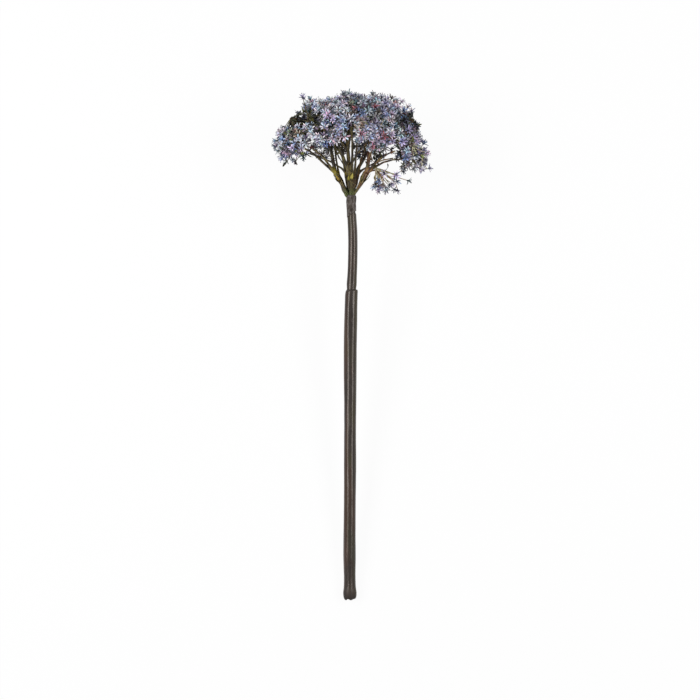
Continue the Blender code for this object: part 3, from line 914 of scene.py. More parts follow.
def swung(hub, places, facings, angle, shift, reach, spread):
    """An umbellet turned about its hub, moved, drawn in and spread."""
    swing = Matrix.Rotation(math.radians(angle), 3, front_way)
    moved = hub + flower_turn @ (Vector(shift) * MM)
    middle = sum(places, Vector()) / len(places) - hub
    ways = [place - hub for place in places]
    spans = [way.length * reach for way in ways]
    ways = [(middle + (way - middle) * spread).normalized() for way in ways]
    places = [moved + swing @ way * span for way, span in zip(ways, spans)]
    return moved, places, [swing @ facing for facing in facings]


def read_umbellet(node):
    """The hub's middle, and the hearts and facings of an umbellet's florets."""
    solid = merged(node)
    hearts = [corner for corner in solid.verts if is_heart(corner)]
    places = [shaped(corner.co) for corner in hearts]
    facings = [corner.normal.copy() for corner in hearts]
    hub = [v.co.copy() for v in solid.verts if min((v.co - p).length for p in places) > HUB_APART]
    solid.free()
    found = (sum(hub, Vector()) / len(hub), places, facings)
    return swung(*found, *SWINGS[node]) if node in SWINGS else found


umbellet_nodes = sorted(name for name in frame["nodes"] if name.startswith("umbellet_"))
umbellets = {node: read_umbellet(node) for node in umbellet_nodes}
print("umbellets", len(umbellets), "with", sum(len(places) for _, places, _ in umbellets.values()), "hearts")

# %% [markdown]
# ## The shapes of one floret
# A floret is a small cup with strap-shaped lobes that spread from it and a few knobbed pins. Among
# the pedicels sit small leafy bracts. Each shape is repeated thousands of times, so each has only a
# few faces. Attributes ride on the shapes: `tip` grows along a lobe, `rim` marks its edges, `under`
# its back, `pin` the pins and `leaf` the bracts.

# %% Lobe, bract, cup and pin
MARK_FORMS = {1: ("FLOAT", "value"), 3: ("FLOAT_VECTOR", "vector"), 4: ("FLOAT_COLOR", "color")}
STRAP = ((-1, 0.3, 1, 0.2), (0, 0, 0, 0), (1, 0.3, 1, 0.2), (0, -1, 0, 1))  # side, height, rim, under


def marked(name, places, edges=(), faces=(), **marks):
    """A mesh object with named numbers, vectors or colours on its points."""
    mesh = bpy.data.meshes.new(name)
    mesh.from_pydata(places, edges, faces)
    for label, values in marks.items():
        rows = np.array(values, np.float32).reshape(len(places), -1)
        form, key = MARK_FORMS[rows.shape[1]]
        mesh.attributes.new(label, form, "POINT").data.foreach_set(key, rows.ravel())
    return in_scene(name, mesh)


def pointed(name, sides, places, marks):
    """A closed shape in mm whose rings of corners run from a flat foot to a point."""
    last = len(places) - 1 - sides
    around = [(k, (k + 1) % sides) for k in range(sides)]
    faces = [tuple(reversed(range(sides)))]
    for row in range(0, last, sides):
        faces += [(row + k, row + j, row + sides + j, row + sides + k) for k, j in around]
    faces += [(last + k, last + j, last + sides) for k, j in around]
    shape = marked(name, [Vector(place) * MM for place in places], (), faces, **marks)
    solid = bmesh.new()
    solid.from_mesh(shape.data)
    bmesh.ops.recalc_face_normals(solid, faces=solid.faces)
    solid.to_mesh(shape.data)
    solid.free()
    return shape


def blade(name, sections, tip, leaf):
    """A closed strap of sections (distance, lift, half width, thickness) that runs out in a point.

    Its upper side is a shallow channel between two raised edges.
    """
    rows = []
    for far, lift, wide, thick in sections:
        for side, height, rim, under in STRAP:
            rows.append((far, side * wide, lift + height * thick, far / tip[0], rim, under))
    rows.append((tip[0], 0.0, tip[1], 1.0, 0.8, 0.2))
    marks = dict(zip(("tip", "rim", "under"), list(zip(*rows))[3:]))
    return pointed(name, len(STRAP), [row[:3] for row in rows], {**marks, "leaf": [leaf] * len(rows)})


def turned_shape(name, sides, sections, top, marks_by_row):
    """A closed turned shape of rings (height, radius) and a point, with a mark for each of them."""
    turns = [math.tau * k / sides for k in range(sides)]
    round_about = [(math.cos(turn), math.sin(turn)) for turn in turns]
    places = [(wide * x, wide * y, height) for height, wide in sections for x, y in round_about]
    marks = {}
    for label, values in marks_by_row.items():
        marks[label] = [value for value in values[:-1] for _ in turns] + [values[-1]]
    return pointed(name, sides, [*places, (0.0, 0.0, top)], marks)


lobe = blade(
    "lobe_shape", ((0.5, 0.0, 0.34, 0.34), (2.2, 0.35, 0.60, 0.30), (4.1, 0.35, 0.58, 0.24)), (5.0, 0.1), 0.0
)
bract = blade(
    "bract_shape", ((0.0, 0.0, 0.3, 0.4), (2.2, 0.6, 1.2, 0.3), (4.8, 0.7, 0.95, 0.25)), (7.0, 0.2), 1.0
)
cup = turned_shape(
    "cup_shape", 5, ((-1.9, 0.34), (-0.5, 0.75), (0.25, 1.0)), -0.25,
    {"tip": (0.1, 0.15, 0.2, 0.0), "under": (1, 1, 0.3, 0)},
)
pin = turned_shape(
    "pin_shape", 3, ((0.0, 0.20), (3.6, 0.17), (4.0, 0.5)), 4.7, {"pin": (0.15, 0.55, 1.0, 1.0)}
)
print("faces", {shape.name: len(shape.data.polygons) for shape in (lobe, bract, cup, pin)})

# %% [markdown]
# ## Florets from one node tree
# Placing thousands of lobes by hand or in loops is slow, and copies would all look alike. Geometry
# Nodes duplicate each floret's point once for every lobe and turn each copy by its share of the
# circle, with its own tilt, length and twist drawn from a fixed seed. Points whose `kind` is one
# carry a bract instead.

# %% The floret tree
SPIN_DOUBT = 0.22


def node_group(name, **sockets):
    """A geometry tree with named inputs."""
    group = bpy.data.node_groups.new(name, "GeometryNodeTree")
    group.interface.new_socket("Geometry", in_out="INPUT", socket_type="NodeSocketGeometry")
    group.interface.new_socket("Geometry", in_out="OUTPUT", socket_type="NodeSocketGeometry")
    for label, kind in sockets.items():
        group.interface.new_socket(label, in_out="INPUT", socket_type="NodeSocket" + kind)
    tree = Tree(group)
    entry = group.nodes.new("NodeGroupInput")
    return group, tree, {socket.name: Wire(tree, socket) for socket in entry.outputs}


def end_tree(tree, geometry, finish):
    """Ends a geometry tree: a plain mesh with its material."""
    plain = tree.node("GeometryNodeRealizeInstances", {"Geometry": geometry})
    coated = tree.node("GeometryNodeSetMaterial", {"Geometry": plain, "Material": finish})
    tree.node("NodeGroupOutput", {"Geometry": coated})


def attribute(tree, name, kind="FLOAT"):
    """The wire of a named attribute."""
    return tree.node("GeometryNodeInputNamedAttribute", {"Name": name}, data_type=kind)


def drawn(tree, low, high, seed):
    """A random number for each element."""
    values = {"Min_001": low, "Max_001": high, "Seed": seed}
    return tree.node("FunctionNodeRandomValue", values, "Value_001", data_type="FLOAT")


def turned(tree, rotation, axis, angle):
    """A rotation with a further turn about one of its own axes."""
    twist = tree.node("FunctionNodeAxisAngleToRotation", {"Axis": axis, "Angle": angle})
    values = {"Rotation": rotation, "Rotate By": twist}
    return tree.node("FunctionNodeRotateRotation", values, rotation_space="LOCAL")


def chosen(tree, points, name):
    """The points whose attribute is over a half, and the others."""
    over = tree.maths("GREATER_THAN", attribute(tree, name), 0.5)
    values = {"Geometry": points, "Selection": over}
    picked = tree.node("GeometryNodeSeparateGeometry", values, domain="POINT")
    return picked, picked.beside("Inverted")


def around_florets(tree, points, shape, count, tilts, stretch, seed, share_of_size=1.0):
    """Copies of a shape set round every floret."""
    values = {"Geometry": points, "Amount": count}
    several = tree.node("GeometryNodeDuplicateElements", values, domain="POINT")
    index = several.beside("Duplicate Index")
    for label, step in (("tone", 4), ("cast", 5)):
        values = {"Geometry": several, "Name": label, "Value": drawn(tree, 0.0, 1.0, seed + step)}
        several = tree.node("GeometryNodeStoreNamedAttribute", values, data_type="FLOAT", domain="POINT")
    share = tree.maths("DIVIDE", index, count)
    spin = attribute(tree, "spin") + share * math.tau + drawn(tree, -SPIN_DOUBT, SPIN_DOUBT, seed + 1)
    facing = attribute(tree, "facing", "FLOAT_VECTOR")
    rotation = tree.node("FunctionNodeAlignRotationToVector", {"Vector": facing}, axis="Z")
    rotation = turned(tree, rotation, (0, 0, 1), spin)
    rotation = turned(tree, rotation, (0, 1, 0), drawn(tree, *tilts, seed + 2) * -1.0)
    size = attribute(tree, "size") * share_of_size
    length = size * drawn(tree, 1.0 - stretch, 1.0 + stretch, seed + 3)
    scale = tree.node("ShaderNodeCombineXYZ", {"X": length, "Y": size, "Z": length})
    source = tree.node("GeometryNodeObjectInfo", {"Object": shape}, "Geometry")
    values = {"Points": several, "Instance": source, "Rotation": rotation, "Scale": scale}
    return tree.node("GeometryNodeInstanceOnPoints", values)


def floret_tree():
    """Lobes, an inner ring of lobes, a cup and pins at each floret, and a bract at each leafy point."""
    group, tree, given = node_group(
        "florets", Lobe="Object", Cup="Object", Pin="Object", Bract="Object", Lobes="Int", Inner="Int",
        Share="Float", Pins="Int", Tilt="Float", Spread="Float", Lean="Float", Droop="Float", Seed="Int",
        Finish="Material",
    )
    points = tree.node("GeometryNodeMeshToPoints", {"Mesh": given["Geometry"]})
    leafy, starry = chosen(tree, points, "kind")
    pinned, _ = chosen(tree, starry, "pinned")
    seed, tilt, spread, lean = (given[label] for label in ("Seed", "Tilt", "Spread", "Lean"))
    outer_tilts, inner_tilts = (tilt - spread, tilt + spread), (tilt + 0.2, tilt + 0.8)
    grown_parts = (
        around_florets(tree, starry, given["Lobe"], given["Lobes"], outer_tilts, 0.22, seed),
        around_florets(
            tree, starry, given["Lobe"], given["Inner"], inner_tilts, 0.2, seed + 40, given["Share"]
        ),
        around_florets(tree, starry, given["Cup"], 1, (0.0, 0.0), 0.1, seed + 10),
        around_florets(tree, pinned, given["Pin"], given["Pins"], (lean * 0.2, lean), 0.2, seed + 20),
        around_florets(tree, leafy, given["Bract"], 1, (0.0, given["Droop"]), 0.3, seed + 30),
    )
    end_tree(tree, tree.node("GeometryNodeJoinGeometry", {"Geometry": grown_parts}), given["Finish"])
    return group


floret_group = floret_tree()
print("floret tree", len(floret_group.nodes), "nodes")

# %% [markdown]
# ## Pedicels from one node tree
# Every floret ends a thin pedicel, and most pedicels fork to carry three. A pedicel is a line of
# points with a radius at each point, so it is drawn as edges and swept by Curve to Mesh with a small
# five-sided section.

# %% The pedicel tree


def pedicel_tree():
    """Sweeps a small round section along lines, as thick as each point says."""
    group, tree, given = node_group("pedicels", Sides="Int", Finish="Material")
    lines = tree.node("GeometryNodeMeshToCurve", {"Mesh": given["Geometry"]})
    values = {"Resolution": given["Sides"], "Radius": 1.0}
    section = tree.node("GeometryNodeCurvePrimitiveCircle", values, "Curve")
    values = {"Curve": lines, "Profile Curve": section, "Scale": attribute(tree, "thick"), "Fill Caps": True}
    end_tree(tree, tree.node("GeometryNodeCurveToMesh", values), given["Finish"])
    return group


def grown(source, group, name, settings):
    """Runs a geometry tree on an object and returns the result as a plain piece."""
    modifier = source.modifiers.new(group.name, "NODES")
    modifier.node_group = group
    sockets = {s.name: s.identifier for s in group.interface.items_tree if s.in_out == "INPUT"}
    for label, value in settings.items():
        modifier[sockets[label]] = value
    return baked(source, name)


pedicel_group = pedicel_tree()
print("pedicel tree", len(pedicel_group.nodes), "nodes")

# %% [markdown]
# ## Finishes of florets and pedicels
# The florets are dusty lavender grey and slate blue, with paler edges, darker hearts, backs darkened
# as painted shade and a few pink or red ones. One material does them all: each floret carries its own
# colour in the attribute `tint`, and the marks on its shapes say where it turns dark or pale.

# %% Floret and pedicel finishes
PALEST = (0.93, 0.88, 0.97)  # linear: no floret is paler than this
TONES = (0.40, 1.66)  # how dark and how pale a single lobe can be beside its floret's colour
CASTS = ((0.30, 0.22, (0.76, 1.02, 1.14, 1.0)), (0.74, 0.82, (1.14, 0.93, 0.97, 1.0)))  # cool, warm
DRIFTS = (  # features to the metre and the hue that the colour drifts to: blue, dark and green
    (310.0, (0.80, 1.00, 1.10, 1.0)), (232.0, (0.50, 0.60, 0.60, 1.0)), (345.0, (1.10, 1.14, 0.86, 1.0)),
)
# the second hue darkens the backs of the lobes as painted shade
EDGE_HUE, BACK_SHADE_HUE = (1.55, 1.5, 1.45, 1.0), (0.24, 0.26, 0.28, 1.0)


def mark(tree, name, out="Fac"):
    """The wire of an attribute in a material."""
    return tree.node("ShaderNodeAttribute", out=out, attribute_name=name)


def hue_shifted(tree, tint, hue):
    """A colour with each of its three parts scaled."""
    return tree.mixed(1.0, tint, hue, "MULTIPLY")


def floret_finish():
    """One plastic for every floret, coloured by the attributes of its points."""
    finish, tree = new_finish("floret_plastic")
    place = tree.place()
    dusting, patch = tree.noise(place, 420.0), tree.noise(place, 110.0)
    tip, rim, under, pinned, leaf = (mark(tree, name) for name in ("tip", "rim", "under", "pin", "leaf"))
    petal = 1.0 - leaf
    heart_dark, edge_pale, dirt, knob = colours((90, 84, 90), (240, 238, 250), (62, 62, 48), (58, 44, 58))
    values = {0: mark(tree, "tint", "Color"), "Scale": tree.between(mark(tree, "tone"), 0.0, 1.0, *TONES)}
    tint = tree.node("ShaderNodeVectorMath", values, "Vector", operation="SCALE")
    tint = tree.vector("MINIMUM", tint, PALEST)
    cast = mark(tree, "cast")
    for low, high, hue in CASTS:
        tint = tree.mixed(tree.between(cast, low, high) * 0.8 * petal, tint, hue_shifted(tree, tint, hue))
    for size, hue in DRIFTS:
        drift = tree.between(tree.noise(place, size, 1.0), 0.54, 0.64) * 0.7
        tint = tree.mixed(drift * petal, tint, hue_shifted(tree, tint, hue))
    dust = tree.between(dusting, 0.42, 0.56) * tree.between(tip, 0.2, 0.6) * petal
    pale = tree.mixed(0.45, hue_shifted(tree, tint, EDGE_HUE), edge_pale)
    body = tree.layered(
        hue_shifted(tree, tint, heart_dark),
        (tree.between(tip, 0.16, 0.50), tint),
        (rim * dust * 0.9, pale),
        # the backs of the lobes darkened: painted shade
        (under * 0.65 * petal, hue_shifted(tree, tint, BACK_SHADE_HUE)),
        (tree.between(patch, 0.55, 0.68) * 0.35, dirt),
        (tree.between(pinned, 0.02, 0.1), tree.mixed(tree.between(pinned, 0.6, 0.9), tint, knob)),
    )
    plastic(tree, body, tree.between(dusting, 0.3, 0.7, 0.45, 0.7), dusting, 0.2 * MM, 0.2)
    return finish


def pedicel_finish():
    """Worn plastic in the colour of each pedicel."""
    finish, tree = new_finish("pedicel_plastic")
    grain = tree.noise(tree.place(), 380.0)
    tint = mark(tree, "tint", "Color")
    worn = hue_shifted(tree, tint, *colours((120, 112, 96)))
    body = tree.mixed(tree.between(grain, 0.38, 0.62) * 0.7, tint, worn)
    plastic(tree, body, tree.between(grain, 0.3, 0.7, 0.4, 0.6), grain, 0.2 * MM, 0.2)
    return finish


floret_plastic, pedicel_plastic = floret_finish(), pedicel_finish()
print("finishes", floret_plastic.name, pedicel_plastic.name)

# %% [markdown]
# ## Growing the umbellets
# Each coarse star of the solids becomes a cluster of three florets on a fork, set a little apart and
# at uneven depths, or often a single one where its pedicel droops. The deeper a floret sits, the
# darker it is painted, as shade. Smaller florets fill the inside of the dome, painted darker still,
# with leafy bracts among them, and soft patches of painted light and shade lie across the dome, with
# painted light towards its left and painted shade towards its right. The colour of a cluster is drawn
# from a short palette, whose shares change from the cool left to the greyer right, and a few single
# florets are pink or red. Some umbellets carry more florets that hang free below them on long
# pedicels, and one has a side shoot with a fan of bared pedicels.

# %% Colours of the clusters
PALETTE = {  # a colour and its share
    "lavender": ((190, 178, 212), 0.28),
    "grey": ((182, 178, 188), 0.20),
    "mauve": ((196, 168, 192), 0.17),
    "slate": ((128, 144, 186), 0.09),
    "ice": ((194, 208, 228), 0.12),
    "teal": ((86, 124, 132), 0.045),
    "denim": ((88, 112, 156), 0.03),
    "bark": ((112, 96, 82), 0.04),
    "sage": ((142, 146, 126), 0.03),
}
PINKS = colours((196, 126, 144), (160, 66, 74), (196, 142, 132), (180, 98, 116))
PINK_SHARE = 0.04
LEFT_COOL = {"ice": 2.2, "slate": 1.8, "denim": 1.6, "teal": 1.5}
LEFT_REACH = 60 * MM
LEFT_LIGHT = 0.25
RIGHT_SHADE = 0.20
PALE_FROM = 20 * MM
PALE_LEAST = 0.15
PALE_PEDICELS = colours((222, 216, 172), (204, 204, 170), (184, 148, 114), (228, 224, 194))
PEDICEL_TINTS = colours((84, 76, 46), (92, 68, 46), (78, 82, 62), (70, 62, 62), (120, 112, 74))
FILLER_TINTS = colours((92, 118, 122), (96, 98, 70), (92, 94, 118), (70, 82, 72), (146, 126, 150))
DARK_PEDICELS = colours((70, 66, 40), (50, 56, 40), (74, 58, 40))
BRACT_TINTS = colours((78, 82, 42), (46, 48, 28), (104, 106, 54), (48, 60, 44), (36, 42, 34))
# soft patches of painted light and shade across the dome: their width, bounds and strength
PATCH_WIDE = 26 * MM
PATCH_RANGE = (0.35, 1.45)
PATCH_GAIN = 1.5
LEAFY_BELOW = 0.7  # where the painted shade is darker than this, bracts take the place of half of the florets
HUE_DOUBT = 0.10


def hollow_light(spot):
    """How pale the florets are at a spot: soft patches of painted shade and painted light, drawn from noise
    across the dome.
    """
    place = (to_flower @ spot - dome_middle) / PATCH_WIDE
    light = 1.0 + PATCH_GAIN * noise.noise(place)
    return max(PATCH_RANGE[0], min(PATCH_RANGE[1], light))


def cluster_tint(place, draw):
    """The colour of a cluster, by its place on the flower."""
    left = max(0.0, min(1.0, -(to_flower @ place).x / LEFT_REACH))
    names = list(PALETTE)
    weights = [PALETTE[n][1] * (1 + left * (LEFT_COOL.get(n, 1.0) - 1)) for n in names]
    return colours(PALETTE[draw.choices(names, weights)[0]][0])[0]


def side_light(place):
    """The florets are paler towards the left edge of the dome and darker towards the right."""
    side = max(-1.0, min(1.0, (to_flower @ place).x / LEFT_REACH))
    return 1.0 - side * (RIGHT_SHADE if side > 0 else LEFT_LIGHT)


def pale_side(place):
    """How likely a bared pedicel is a pale one: only right of the stem are there many of them."""
    return max(PALE_LEAST, min(1.0, (to_flower @ place).x / PALE_FROM))


def varied(tint, draw, spread, shade=1.0):
    """A colour a little lighter or darker and a little off its hue."""
    light = shade * math.exp(draw.uniform(-spread, spread))
    return tuple(min(1.0, part * light * math.exp(draw.uniform(-HUE_DOUBT, HUE_DOUBT))) for part in tint[:3])


print("palette", ", ".join(PALETTE))

# %% Lines and spots of one umbellet
UMBELLET_SEED = 1000
FORK_SHARE = (0.62, 0.80)  # where a pedicel forks, as a part of its length
SPLIT = 3
DROOP_ALONE = 0.75  # how likely a drooping pedicel is to carry a single floret
LOOSE = {"umbellet_26": 1.0}  # how likely every pedicel of an umbellet is to carry a single floret
CLUSTER_WIDTH = (2.6 * MM, 4.3 * MM)
CLUSTER_DEPTH = (-5.0 * MM, 1.8 * MM)
FLORET_SIZES = (0.76, 1.10)
PINNED_SHARE = 0.6
FILLERS = 26
FILLER_DEPTH = (0.35, 0.86)
FILLER_SIZES = (0.75, 1.0)
BRACTS = 14
BRACT_DEPTH = (0.2, 0.8)
BRACT_SIZES = (0.7, 1.15)
FLOOR_CLEAR = 0.2 * MM
FLORET_REACH = 5.9 * MM
HUB_SKIN = 0.8  # pedicels leave a hub this many mm from its middle
NECK = 1.5  # a pedicel ends this many mm below the heart of its floret
STAND_OUT = 0.14  # the share of florets that stand out of the dome
STAND_OUT_BY = (1.5 * MM, 4.5 * MM)
STRAYS = {  # how many more florets hang free of an umbellet on long pedicels
    "umbellet_07": 3, "umbellet_02": 16, "umbellet_01": 15, "umbellet_22": 24, "umbellet_21": 3,
    "umbellet_26": 9, "umbellet_06": 14, "umbellet_04": 12, "umbellet_08": 6, "umbellet_23": 6,
    "umbellet_24": 5, "umbellet_03": 21,
}
STRAY_TURN = 0.30
STRAY_REACH = (0.75, 1.0)
STRAY_SAG = 0.55  # how far they lean down along the stem
STRAY_SIZES = (0.8, 1.1)
FANS = {"umbellet_22": 12}  # umbellets with a side fan of long bared pedicels, and how many it has
FAN_OUT = Vector((0.45, -0.5, 0.7)).normalized()  # where the shoot points, in the flower's frame
FAN_DOWN = Vector((0.25, -0.95, 0.1)).normalized()  # where its pedicels point
FAN_ROOT = 9 * MM
FAN_REACH = (12 * MM, 18 * MM)
FAN_SPREAD = 0.55
FAN_LEAFY = 0.35
FACE_LEAN = 0.55
FACE_DOUBT = 22 * MM
AIRY_BELOW = 0.45  # umbellets that face further down than this show their pedicels


class Lines:
    """Poly-lines with a radius and a tint at each point."""

    def __init__(self):
        self.places, self.edges, self.thick, self.tints = [], [], [], []

    def add(self, start, heading, end, radii, tint, steps):
        """A line that leaves the start along the heading and bends to the end."""
        first = len(self.places)
        middle = start + heading
        for k in range(steps + 1):
            t = k / steps
            self.places.append(start * (1 - t) ** 2 + middle * 2 * t * (1 - t) + end * t**2)
            self.thick.append(radii[0] + (radii[1] - radii[0]) * t)
            self.tints.append((*tint, 1.0))
        self.edges += [(first + k, first + k + 1) for k in range(steps)]

    def as_object(self, name):
        return marked(name, self.places, self.edges, thick=self.thick, tint=self.tints)


class Spots:
    """Places of florets and bracts with their facing, spin, size, tint and kind."""

    def __init__(self):
        self.rows = []

    def add(self, place, facing, spin, size, tint, pinned=0.0, kind=0.0):
        self.rows.append((place, spin, size, pinned, kind, facing, (*tint, 1.0)))

    def as_object(self, name):
        places, *marks = zip(*self.rows)
        labels = ("spin", "size", "pinned", "kind", "facing", "tint")
        return marked(name, places, **dict(zip(labels, marks)))


def off_floor(place, reach=FLORET_REACH):
    """The place lifted so that nothing within reach goes through the floor."""
    return Vector((place.x, place.y, max(place.z, reach + FLOOR_CLEAR)))


def tilted(way, draw, spread):
    """A direction leaned a random amount."""
    shake = Vector([draw.gauss(0, spread) for _ in range(3)])
    return (way + shake).normalized()


def leaned(look, spot, draw):
    """Florets lean to the nearer of the flower's two broad faces, and either way at its edge."""
    depth = (to_flower @ spot).z + draw.uniform(-FACE_DOUBT, FACE_DOUBT)
    return (look + front_way * math.copysign(FACE_LEAN, depth)).normalized()


def add_cluster(lines, spots, hub, heart, facing, airy, alone, draw):
    """A pedicel that forks into a cluster of florets, or carries a single one."""
    way = (heart - hub).normalized()
    reach = (heart - hub).length
    stalk_tints = PALE_PEDICELS if draw.random() < airy * pale_side(heart) else PEDICEL_TINTS
    stalk_tint = varied(draw.choice(stalk_tints), draw, 0.25)
    fork = off_floor(hub + way * reach * draw.uniform(*FORK_SHARE), 1.0 * MM)
    bend = tilted(way, draw, 0.12) * reach * 0.4
    lines.add(hub + way * HUB_SKIN * MM, bend, fork, (0.60 * MM, 0.46 * MM), stalk_tint, 5)
    tint = cluster_tint(heart, draw)
    right = way.orthogonal().normalized()
    front = way.cross(right)
    start_turn = draw.uniform(0, math.tau)
    split = 1 if draw.random() < max(alone, -DROOP_ALONE * way.dot(stem_way)) else SPLIT
    for k in range(split):
        turn = start_turn + math.tau * (k + draw.uniform(-0.15, 0.15)) / split
        side = right * math.cos(turn) + front * math.sin(turn)
        lift = draw.uniform(*CLUSTER_DEPTH)
        if draw.random() < STAND_OUT:
            lift = draw.uniform(*STAND_OUT_BY)
        spot = off_floor(heart + side * draw.uniform(*CLUSTER_WIDTH) + facing * lift)
        look = tilted(leaned(facing + side * 0.45, spot, draw), draw, 0.16)
        size = draw.uniform(*FLORET_SIZES)
        shade = 1.08 + 0.75 * min(0.0, lift) / (CLUSTER_DEPTH[1] - CLUSTER_DEPTH[0])
        light = hollow_light(spot)
        floret_tint = varied(tint, draw, 0.42, shade * side_light(spot) * light)
        if draw.random() < PINK_SHARE:
            floret_tint = varied(draw.choice(PINKS), draw, 0.2)
        leafy = light < LEAFY_BELOW and draw.random() < 0.5
        if leafy:
            floret_tint = varied(draw.choice(BRACT_TINTS), draw, 0.3)
        neck = spot - look * NECK * MM * size
        lines.add(fork - way * 0.5 * MM, way * 2.5 * MM, neck, (0.40 * MM, 0.36 * MM), stalk_tint, 4)
        pinned = 0.0 if leafy else float(draw.random() < PINNED_SHARE)
        spots.add(spot, look, draw.uniform(0, math.tau), size, floret_tint, pinned, float(leafy))


def way_out(hub, hearts, spread, reach, draw, sag=0.0):
    """A way a little aside of one of the umbellet's florets, the share of it to go, and its end."""
    heart = draw.choice(hearts)
    way = tilted((heart - hub).normalized() - stem_way * sag, draw, spread)
    share = draw.uniform(*reach)
    return way, share, off_floor(hub + way * (heart - hub).length * share)


def add_fillers(lines, spots, hub, hearts, count, draw):
    """Smaller florets inside the dome, painted darker as shade the deeper they sit."""
    for _ in range(count):
        way, share, spot = way_out(hub, hearts, 0.24, FILLER_DEPTH, draw)
        look = tilted(way, draw, 0.35)
        # painted shade: the deeper the filler, the darker its colour
        tint = varied(draw.choice(FILLER_TINTS), draw, 0.3, (0.15 + 0.8 * share**2) * hollow_light(spot))
        pedicel_tint = varied(draw.choice(DARK_PEDICELS), draw, 0.3)
        neck = spot - look * 1.2 * MM
        lines.add(hub + way * HUB_SKIN * MM, way * 4 * MM, neck, (0.44 * MM, 0.36 * MM), pedicel_tint, 4)
        spots.add(spot, look, draw.uniform(0, math.tau), draw.uniform(*FILLER_SIZES), tint)


def add_bracts(spots, hub, hearts, count, airy, draw):
    """Leafy bracts among the pedicels, painted darker as shade the deeper they sit."""
    for _ in range(count):
        way, share, spot = way_out(hub, hearts, 0.15, BRACT_DEPTH, draw)
        # deeper bracts painted darker as shade, and those of umbellets that face down less so
        tint = varied(draw.choice(BRACT_TINTS), draw, 0.3, 0.45 + 0.6 * share + 0.4 * airy)
        look = tilted(way, draw, 0.5)
        spots.add(spot, look, draw.uniform(0, math.tau), draw.uniform(*BRACT_SIZES), tint, kind=1.0)


def add_stray(lines, spots, start, spot, airy, leafy, draw):
    """One floret or bract that hangs free of the dome on a long thin pedicel."""
    spot = off_floor(spot)
    way = (spot - start).normalized()
    look = tilted(leaned(way, spot, draw), draw, 0.15)
    tint = draw.choice(BRACT_TINTS[:3]) if leafy else cluster_tint(spot, draw)
    pedicel_tints = PALE_PEDICELS if airy * pale_side(spot) > 0.5 else PEDICEL_TINTS
    pedicel_tint = varied(draw.choice(pedicel_tints), draw, 0.2)
    bend = tilted(way, draw, 0.2) * (spot - start).length * 0.5
    lines.add(start, bend, spot - look * NECK * MM, (0.55 * MM, 0.40 * MM), pedicel_tint, 6)
    size = draw.uniform(*STRAY_SIZES)
    turn = draw.uniform(0, math.tau)
    spots.add(spot, look, turn, size, varied(tint, draw, 0.15), float(not leafy), float(leafy))


def add_strays(lines, spots, hub, hearts, count, airy, draw):
    """The florets that hang free, each a little aside of one of the umbellet's own and below it."""
    for _ in range(count):
        _, _, spot = way_out(hub, hearts, STRAY_TURN, STRAY_REACH, draw, STRAY_SAG)
        add_stray(lines, spots, hub, spot, airy, False, draw)


def add_fan(lines, spots, hub, count, draw):
    """A side shoot towards the front, whose bared pedicels hang down along the stem."""
    root = hub + flower_turn @ FAN_OUT * FAN_ROOT
    lines.add(hub, (root - hub) * 0.4, root, (1.0 * MM, 1.1 * MM), varied(PEDICEL_TINTS[1], draw, 0.1), 4)
    for _ in range(count):
        spot = root + tilted(flower_turn @ FAN_DOWN, draw, FAN_SPREAD) * draw.uniform(*FAN_REACH)
        add_stray(lines, spots, root, spot, 1.0, draw.random() < FAN_LEAFY, draw)


def umbellet_lines(node, number):
    """The pedicels, the florets and the bracts of one umbellet."""
    hub, hearts, facings = umbellets[node]
    draw = random.Random(UMBELLET_SEED + number)
    lines, spots = Lines(), Spots()
    mean_way = sum(facings, Vector()).normalized()
    airy = min(1.0, max(0.0, 1.0 - mean_way.dot(stem_way) / AIRY_BELOW))
    for heart, facing in zip(hearts, facings):
        add_cluster(lines, spots, hub, heart, facing, airy, LOOSE.get(node, 0.0), draw)
    add_fillers(lines, spots, hub, hearts, round(FILLERS * (1.0 - airy)), draw)
    add_bracts(spots, hub, hearts, round(BRACTS * (1.0 - 0.5 * airy)), airy, draw)
    add_strays(lines, spots, hub, hearts, STRAYS.get(node, 0), airy, draw)
    if node in FANS:
        add_fan(lines, spots, hub, FANS[node], draw)
    knuckle = varied(PEDICEL_TINTS[0], draw, 0.15)
    low, high = hub - mean_way * 3.0 * MM, hub + mean_way * 0.6 * MM
    lines.add(low, mean_way * 1.5 * MM, high, (1.0 * MM, 1.9 * MM), knuckle, 4)
    return lines, spots


print("florets of an umbellet", SPLIT, "on each of its pedicels and up to", FILLERS, "inside")

# %% [markdown]
# ## Bracts at the forks
# Where a thick stalk forks, a few curved yellow-green bracts clasp it. They are the same leafy shape
# as the small ones in the dome, and two of the four are larger. A ray cast at the stalk from outside,
# at the height of its fork, finds the place on its skin where a bract sits.

# %% Clasp the forks
FORK_SEED = 5
FORK_FROM, FORK_TO = 24 * MM, 28 * MM
FORK_TINTS = colours((158, 146, 46), (128, 118, 44), (136, 134, 66), (142, 140, 66))
FORK_BRACTS = ((-1.3, 1.35), (-0.5, 1.0), (0.35, 1.25), (1.2, 1.0))  # turn about the stalk and size
FLORET_SETTINGS = {
    "Lobe": lobe, "Cup": cup, "Pin": pin, "Bract": bract, "Lobes": 7, "Inner": 4, "Share": 0.62,
    "Pins": 4, "Tilt": 0.40, "Spread": 0.30, "Lean": 0.5, "Droop": 0.5, "Finish": floret_plastic,
}
FORK_SETTINGS = {**FLORET_SETTINGS, "Droop": 0.1, "Seed": 3}


def along_way(facing, way):
    """The spin that lays a shape's length along the way when its top looks along the facing."""
    local = Vector((0, 0, 1)).rotation_difference(facing).inverted() @ way
    return math.atan2(local.y, local.x)


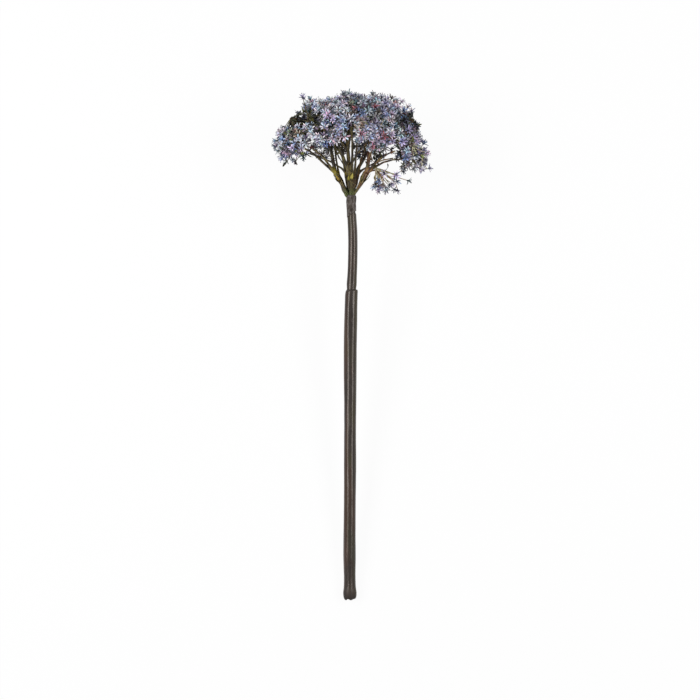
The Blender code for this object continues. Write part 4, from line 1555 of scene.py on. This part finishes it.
def clasp_fork(spots, stalk, draw):
    """The bracts at the fork of one stalk."""
    skin = [corner.co for corner in stalk.data.vertices]
    nearby = [place for place in skin if FORK_FROM < (place - root_place).length < FORK_TO]
    middle = sum(nearby, Vector()) / len(nearby)
    way = (middle - root_place).normalized()
    outward = (way - stem_way * way.dot(stem_way)).normalized()
    wide = max((place - middle).cross(way).length for place in nearby)
    for turn, size in FORK_BRACTS:
        facing = Matrix.Rotation(turn, 3, way) @ (outward - way * outward.dot(way)).normalized()
        start = middle + way * draw.uniform(-5.0, 1.0) * MM
        met, spot, facing, _ = stalk.ray_cast(start + facing * 4 * wide, -facing)
        if met:
            facing = (facing + (facing - way * facing.dot(way)).normalized()).normalized()
            heading = (way + facing.cross(way) * draw.uniform(-0.35, 0.6)).normalized()
            tint = varied(draw.choice(FORK_TINTS), draw, 0.15)
            spots.add(spot, facing, along_way(facing, heading), size, tint, kind=1.0)


fork_spots = Spots()
fork_draw = random.Random(FORK_SEED)
bpy.context.view_layer.update()
for node in spray_nodes[:-1]:
    clasp_fork(fork_spots, sprays[node], fork_draw)
fork_bracts = grown(fork_spots.as_object("spots_forks"), floret_group, "fork_bracts", FORK_SETTINGS)
finished(fork_bracts, None, "spray_plastic")
print("fork bracts", len(fork_spots.rows))

# %% Grow every umbellet
PEDICEL_SETTINGS = {"Sides": 5, "Finish": pedicel_plastic}
floret_total = 0
for number, node in enumerate(umbellet_nodes):
    lines, spots = umbellet_lines(node, number)
    line_work, spot_work = lines.as_object("lines_" + node), spots.as_object("spots_" + node)
    seeded = {**FLORET_SETTINGS, "Seed": 31 * number + 7}
    pedicels = grown(line_work, pedicel_group, node + "_pedicels", PEDICEL_SETTINGS)
    florets = grown(spot_work, floret_group, node + "_florets", seeded)
    finished(pedicels, None, "floret_plastic")
    finished(florets, None, "floret_plastic", node)
    floret_total += len(spots.rows)
for shape in (lobe, cup, pin, bract):
    bpy.data.objects.remove(shape)
print("florets and bracts", floret_total)

# %% [markdown]
# ## Measuring
# Both boxes, of the solids and of the visual model, are printed side by side.

# %% Sizes and finish
shown_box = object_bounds()
for label, (low, high) in (("cad", cad_box), ("visual", shown_box)):
    print(label, [round((h - l) / MM, 1) for l, h in zip(low, high)], "mm, lowest", round(low.z / MM, 2))
triangles = {}
for piece in bpy.context.scene.objects:
    if piece.type == "MESH" and not piece.hide_render and piece is not floor:
        triangles[piece.name] = sum(len(polygon.vertices) - 2 for polygon in piece.data.polygons)
print("triangles", sum(triangles.values()), "most in one piece", max(triangles.values()))
